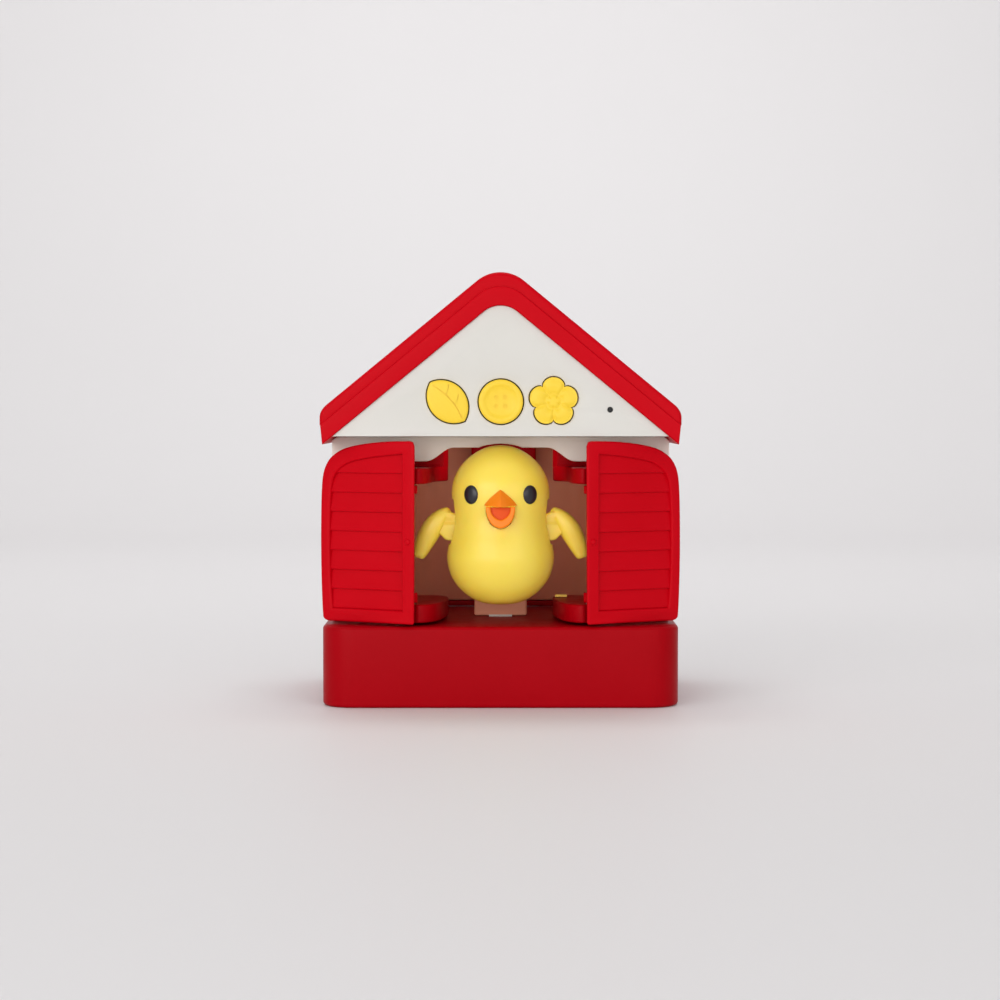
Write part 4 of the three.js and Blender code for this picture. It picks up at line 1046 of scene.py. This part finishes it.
def make_beak():
    """A short wedge for the upper beak; the lower beak hangs open below it with the mouth's colour inside."""
    length, half, height = 6.4, 6.0, 6.0
    face_share, root_depth, taper, corner, belly, sag = 0.82, 1.6, 0.72, 1.75, 0.35, 0.35

    def place(x, y, z):
        """Spreads the sphere's pole to the tip and its lower cap to the flat back."""
        polar = math.acos(max(-1, min(1, z))) / math.pi
        angle = math.atan2(y, x)
        if polar < face_share:
            t = 1 - polar / face_share
            forward = length * t
            size = (1 - t) ** taper
        else:
            forward = -root_depth
            size = (1 - polar) / (1 - face_share)
        cos, sin = math.cos(angle), math.sin(angle)
        px = math.copysign(abs(cos) ** corner, cos) * half * size
        pz = sin ** corner * height * size if sin >= 0 else belly * sin * size
        droop = sag * (forward / length) ** 2 if forward > 0 else 0
        return (px, FACE_Y - 0.2 - forward, BEAK_Z + 0.35 + pz - droop)

    wedge = ball("upper_beak_wedge", 48, 30, place)
    finish_piece(wedge, "chick_carriage", "beak_orange", "upper_beak", angle=50)

    def scoop(grow):
        """The lower beak's rim, from its right end round the bottom to its left end."""
        w = 5.25 + grow
        right = [(w, 72.7), (w * 0.99, 71.2), (w * 0.86, 68.7), (w * 0.55, 66.3 - grow * 0.7)]
        return soft_path(right + [(0, 65.1 - grow)] + [(-x, z) for x, z in right[::-1]], 5)

    well = soft_path([(3.5, 72.6), (3.4, 71.2), (2.75, 69.8), (1.5, 68.7), (0, 68.1), (-1.5, 68.7),
                      (-2.75, 69.8), (-3.4, 71.2), (-3.5, 72.6)], 5)
    jaw_top = 72.9
    rim_low, rim_high = FACE_Y - 3.4, FACE_Y - 0.2
    rim = [(5.2, jaw_top)] + scoop(0)[1:-1] + [(-5.2, jaw_top), (-3.5, jaw_top)]
    rim += well[::-1][1:-1] + [(3.5, jaw_top)]
    jaw = plate("lower_beak_scoop", [rim], rim_low, rim_high, 0.6, "front", rings=4)
    back_outline = scoop(-0.5) + [(-4.6, 72.8), (4.6, 72.8)]
    back = plate("jaw_back", [back_outline], rim_high - 1.1, rim_high + 1.4, 0.3, "front")
    gather(jaw, back)
    lean = math.radians(7)

    def tilt(x, y, z):
        dy, dz = y - rim_high, z - jaw_top
        return (x, rim_high + dy * math.cos(lean) + dz * math.sin(lean),
                jaw_top - dy * math.sin(lean) + dz * math.cos(lean))

    reshape(jaw, tilt)
    finish_piece(jaw, "lower_beak", "beak_orange", "lower_beak", angle=50)
    bed_outline = [(x * 1.12, z - 0.25) for x, z in well] + [(-4.2, 72.8), (4.2, 72.8)]
    bed = plate("mouth_bed", [bed_outline], rim_low + 1.5, rim_high - 1.2, 0.3, "front")
    reshape(bed, tilt)
    finish_piece(bed, "lower_beak", "mouth_red", "beak_tongue", angle=50)


def make_chick_support():
    """The neck tube behind the chick and the hollow post that carries it."""
    low, high = span("chick_neck")
    flange_r, flange_t = 7, 2.6
    neck = rod("chick_neck_tube", NECK_R, low.y + 1, high.y, NECK, axis="y", sides=48, edge=0.5)
    flange = rod("neck_flange", flange_r, low.y, low.y + flange_t, NECK, axis="y", sides=48, edge=0.5)
    gather(neck, flange)
    finish_piece(neck, "chick_carriage", "chick_yellow", "chick_neck")
    foot = Vector((POST_LOW.x, POST_LOW.y, DECK + 0.25))
    column = block("chick_post_column", foot, POST_HIGH, 0.9)
    hollow_half = 7.8
    carve(column, block("hollow", (-hollow_half, POST_LOW.y + WALL_T, POST_LOW.z + WALL_T),
                        (hollow_half, POST_HIGH.y + 1, POST_HIGH.z - 2.5), 0.6))
    # The post takes the orange tint as painted red bounce light inside the niche.
    finish_piece(column, "chick_carriage", "white_abs", "chick_post", finish=RED_BOUNCE_WHITE_ABS)


def make_switch_knob():
    """A small slider with grip ribs."""
    low, high = span("power_switch")
    knob = block("power_slider", low, (high.x, low.y + 2.5, high.z), 0.3)
    grip = block("grip", (low.x + 1, low.y + 2.2, low.z + 2.2), (high.x - 1, high.y, high.z - 2.2), 0.3)
    gap_half, gap_pitch, gap_depth = 0.15, 0.8, 0.4
    for i in range(3):
        x = low.x + 1.7 + i * gap_pitch
        carve(grip, block("rib_gap", (x - gap_half, high.y - gap_depth, low.z + 1),
                          (x + gap_half, high.y + 1, high.z - 1)))
    gather(knob, grip)
    finish_piece(knob, "power_switch", "eye_black", "power_switch", finish=BLACK_ABS)


# ---------------------------------------------------------------- studio
def stage_finish(name, colour, roughness):
    material, tree, shader, place = new_material(name)
    drift = add_node(tree, "ShaderNodeTexNoise", {"Scale": 3.0, "Detail": 2.0}, {"Vector": place})
    lighter = [min(1, c * 1.02) for c in linear(colour)]
    link_tint(tree, shader, linear(colour), lighter, drift.outputs["Fac"])
    shader.inputs["Roughness"].default_value = roughness
    return material


TOY = (0, 0, 0.08)
SWEEP_WIDTH, SWEEP_FRONT, SWEEP_BACK, SWEEP_HEIGHT, SWEEP_BEND = 7.0, -2.2, 1.6, 2.6, 600
CAMERA_PLACE = (-0.0002, FRONT * MM - 0.828, 0.1078)
CAMERA_LENS = 82.8
CAMERA_DIP = 2.24
AIR_COLOUR = (1.0, 0.99, 0.98, 1)
AIR_STRENGTH = 0.48
# Name, place, aim, size in metres, power in watts. The softboxes stand near the camera, left and right of it.
STUDIO_LAMPS = (
    ("left_softbox", (-0.72, -1.25, 0.26), TOY, 1.1, 11.0),
    ("right_softbox", (0.72, -1.25, 0.24), TOY, 1.0, 4.6),
    ("front_card", (0.0, -1.3, 0.1), TOY, 0.7, 2.2),
    ("top_softbox", (-0.1, 0.0, 1.35), TOY, 1.1, 3.0),
    ("backdrop_light", (0.0, 0.45, 1.5), (0.0, 1.6, 0.6), 1.0, 9.6),
    ("niche_glow", (0.0, -0.02, 0.093), (0.0, 0.035, 0.06), 0.03, 0.012),
)


def make_studio():
    """A pale seamless sweep, broad soft lights and the camera."""
    deselect()
    bpy.ops.mesh.primitive_plane_add(size=1)
    sweep = bpy.context.object
    sweep.name = "studio_sweep"
    for vertex in sweep.data.vertices:
        vertex.co = Vector((vertex.co.x * SWEEP_WIDTH, SWEEP_FRONT if vertex.co.y < 0 else SWEEP_BACK, 0))
    bpy.ops.object.mode_set(mode="EDIT")
    bpy.ops.mesh.select_all(action="DESELECT")
    bpy.ops.object.mode_set(mode="OBJECT")
    for edge in sweep.data.edges:
        edge.select = all(sweep.data.vertices[i].co.y > 1 for i in edge.vertices)
    bpy.ops.object.mode_set(mode="EDIT")
    bpy.ops.mesh.extrude_region_move(TRANSFORM_OT_translate={"value": (0, 0, SWEEP_HEIGHT)})
    bpy.ops.object.mode_set(mode="OBJECT")
    round_edges(sweep, SWEEP_BEND, segments=16, angle=60)
    smooth(sweep, 60)
    sweep.data.materials.append(stage_finish("pale_sweep", "#E4E2E3", 0.6))

    world = bpy.data.worlds.new("studio_air") if not bpy.data.worlds else bpy.data.worlds[0]
    bpy.context.scene.world = world
    world.use_nodes = True
    air = world.node_tree.nodes["Background"].inputs
    air["Color"].default_value = AIR_COLOUR
    air["Strength"].default_value = AIR_STRENGTH

    for name, place, target, size, power in STUDIO_LAMPS:
        light = bpy.data.lights.new(name, "AREA")
        light.energy = power
        light.size = size
        lamp = bpy.data.objects.new(name, light)
        bpy.context.collection.objects.link(lamp)
        lamp.location = place
        lamp.rotation_euler = (Vector(target) - Vector(place)).to_track_quat("-Z", "Y").to_euler()

    camera_data = bpy.data.cameras.new("camera")
    camera_data.lens = CAMERA_LENS
    camera_data.sensor_width = 36
    camera_data.clip_start = 0.01
    camera = bpy.data.objects.new("camera", camera_data)
    bpy.context.collection.objects.link(camera)
    camera.location = CAMERA_PLACE
    camera.rotation_euler = (math.radians(90 - CAMERA_DIP), 0, 0)
    bpy.context.scene.camera = camera
    bpy.context.scene.view_settings.view_transform = "Standard"


make_studio()
dress_frame_nodes()
make_base()
make_roof()
make_gable()
make_front_wall()
make_house_shell()
make_niche()
make_buttons()
make_doors()
make_chick_body()
make_wings()
make_eyes()
make_beak()
make_chick_support()
make_switch_knob()
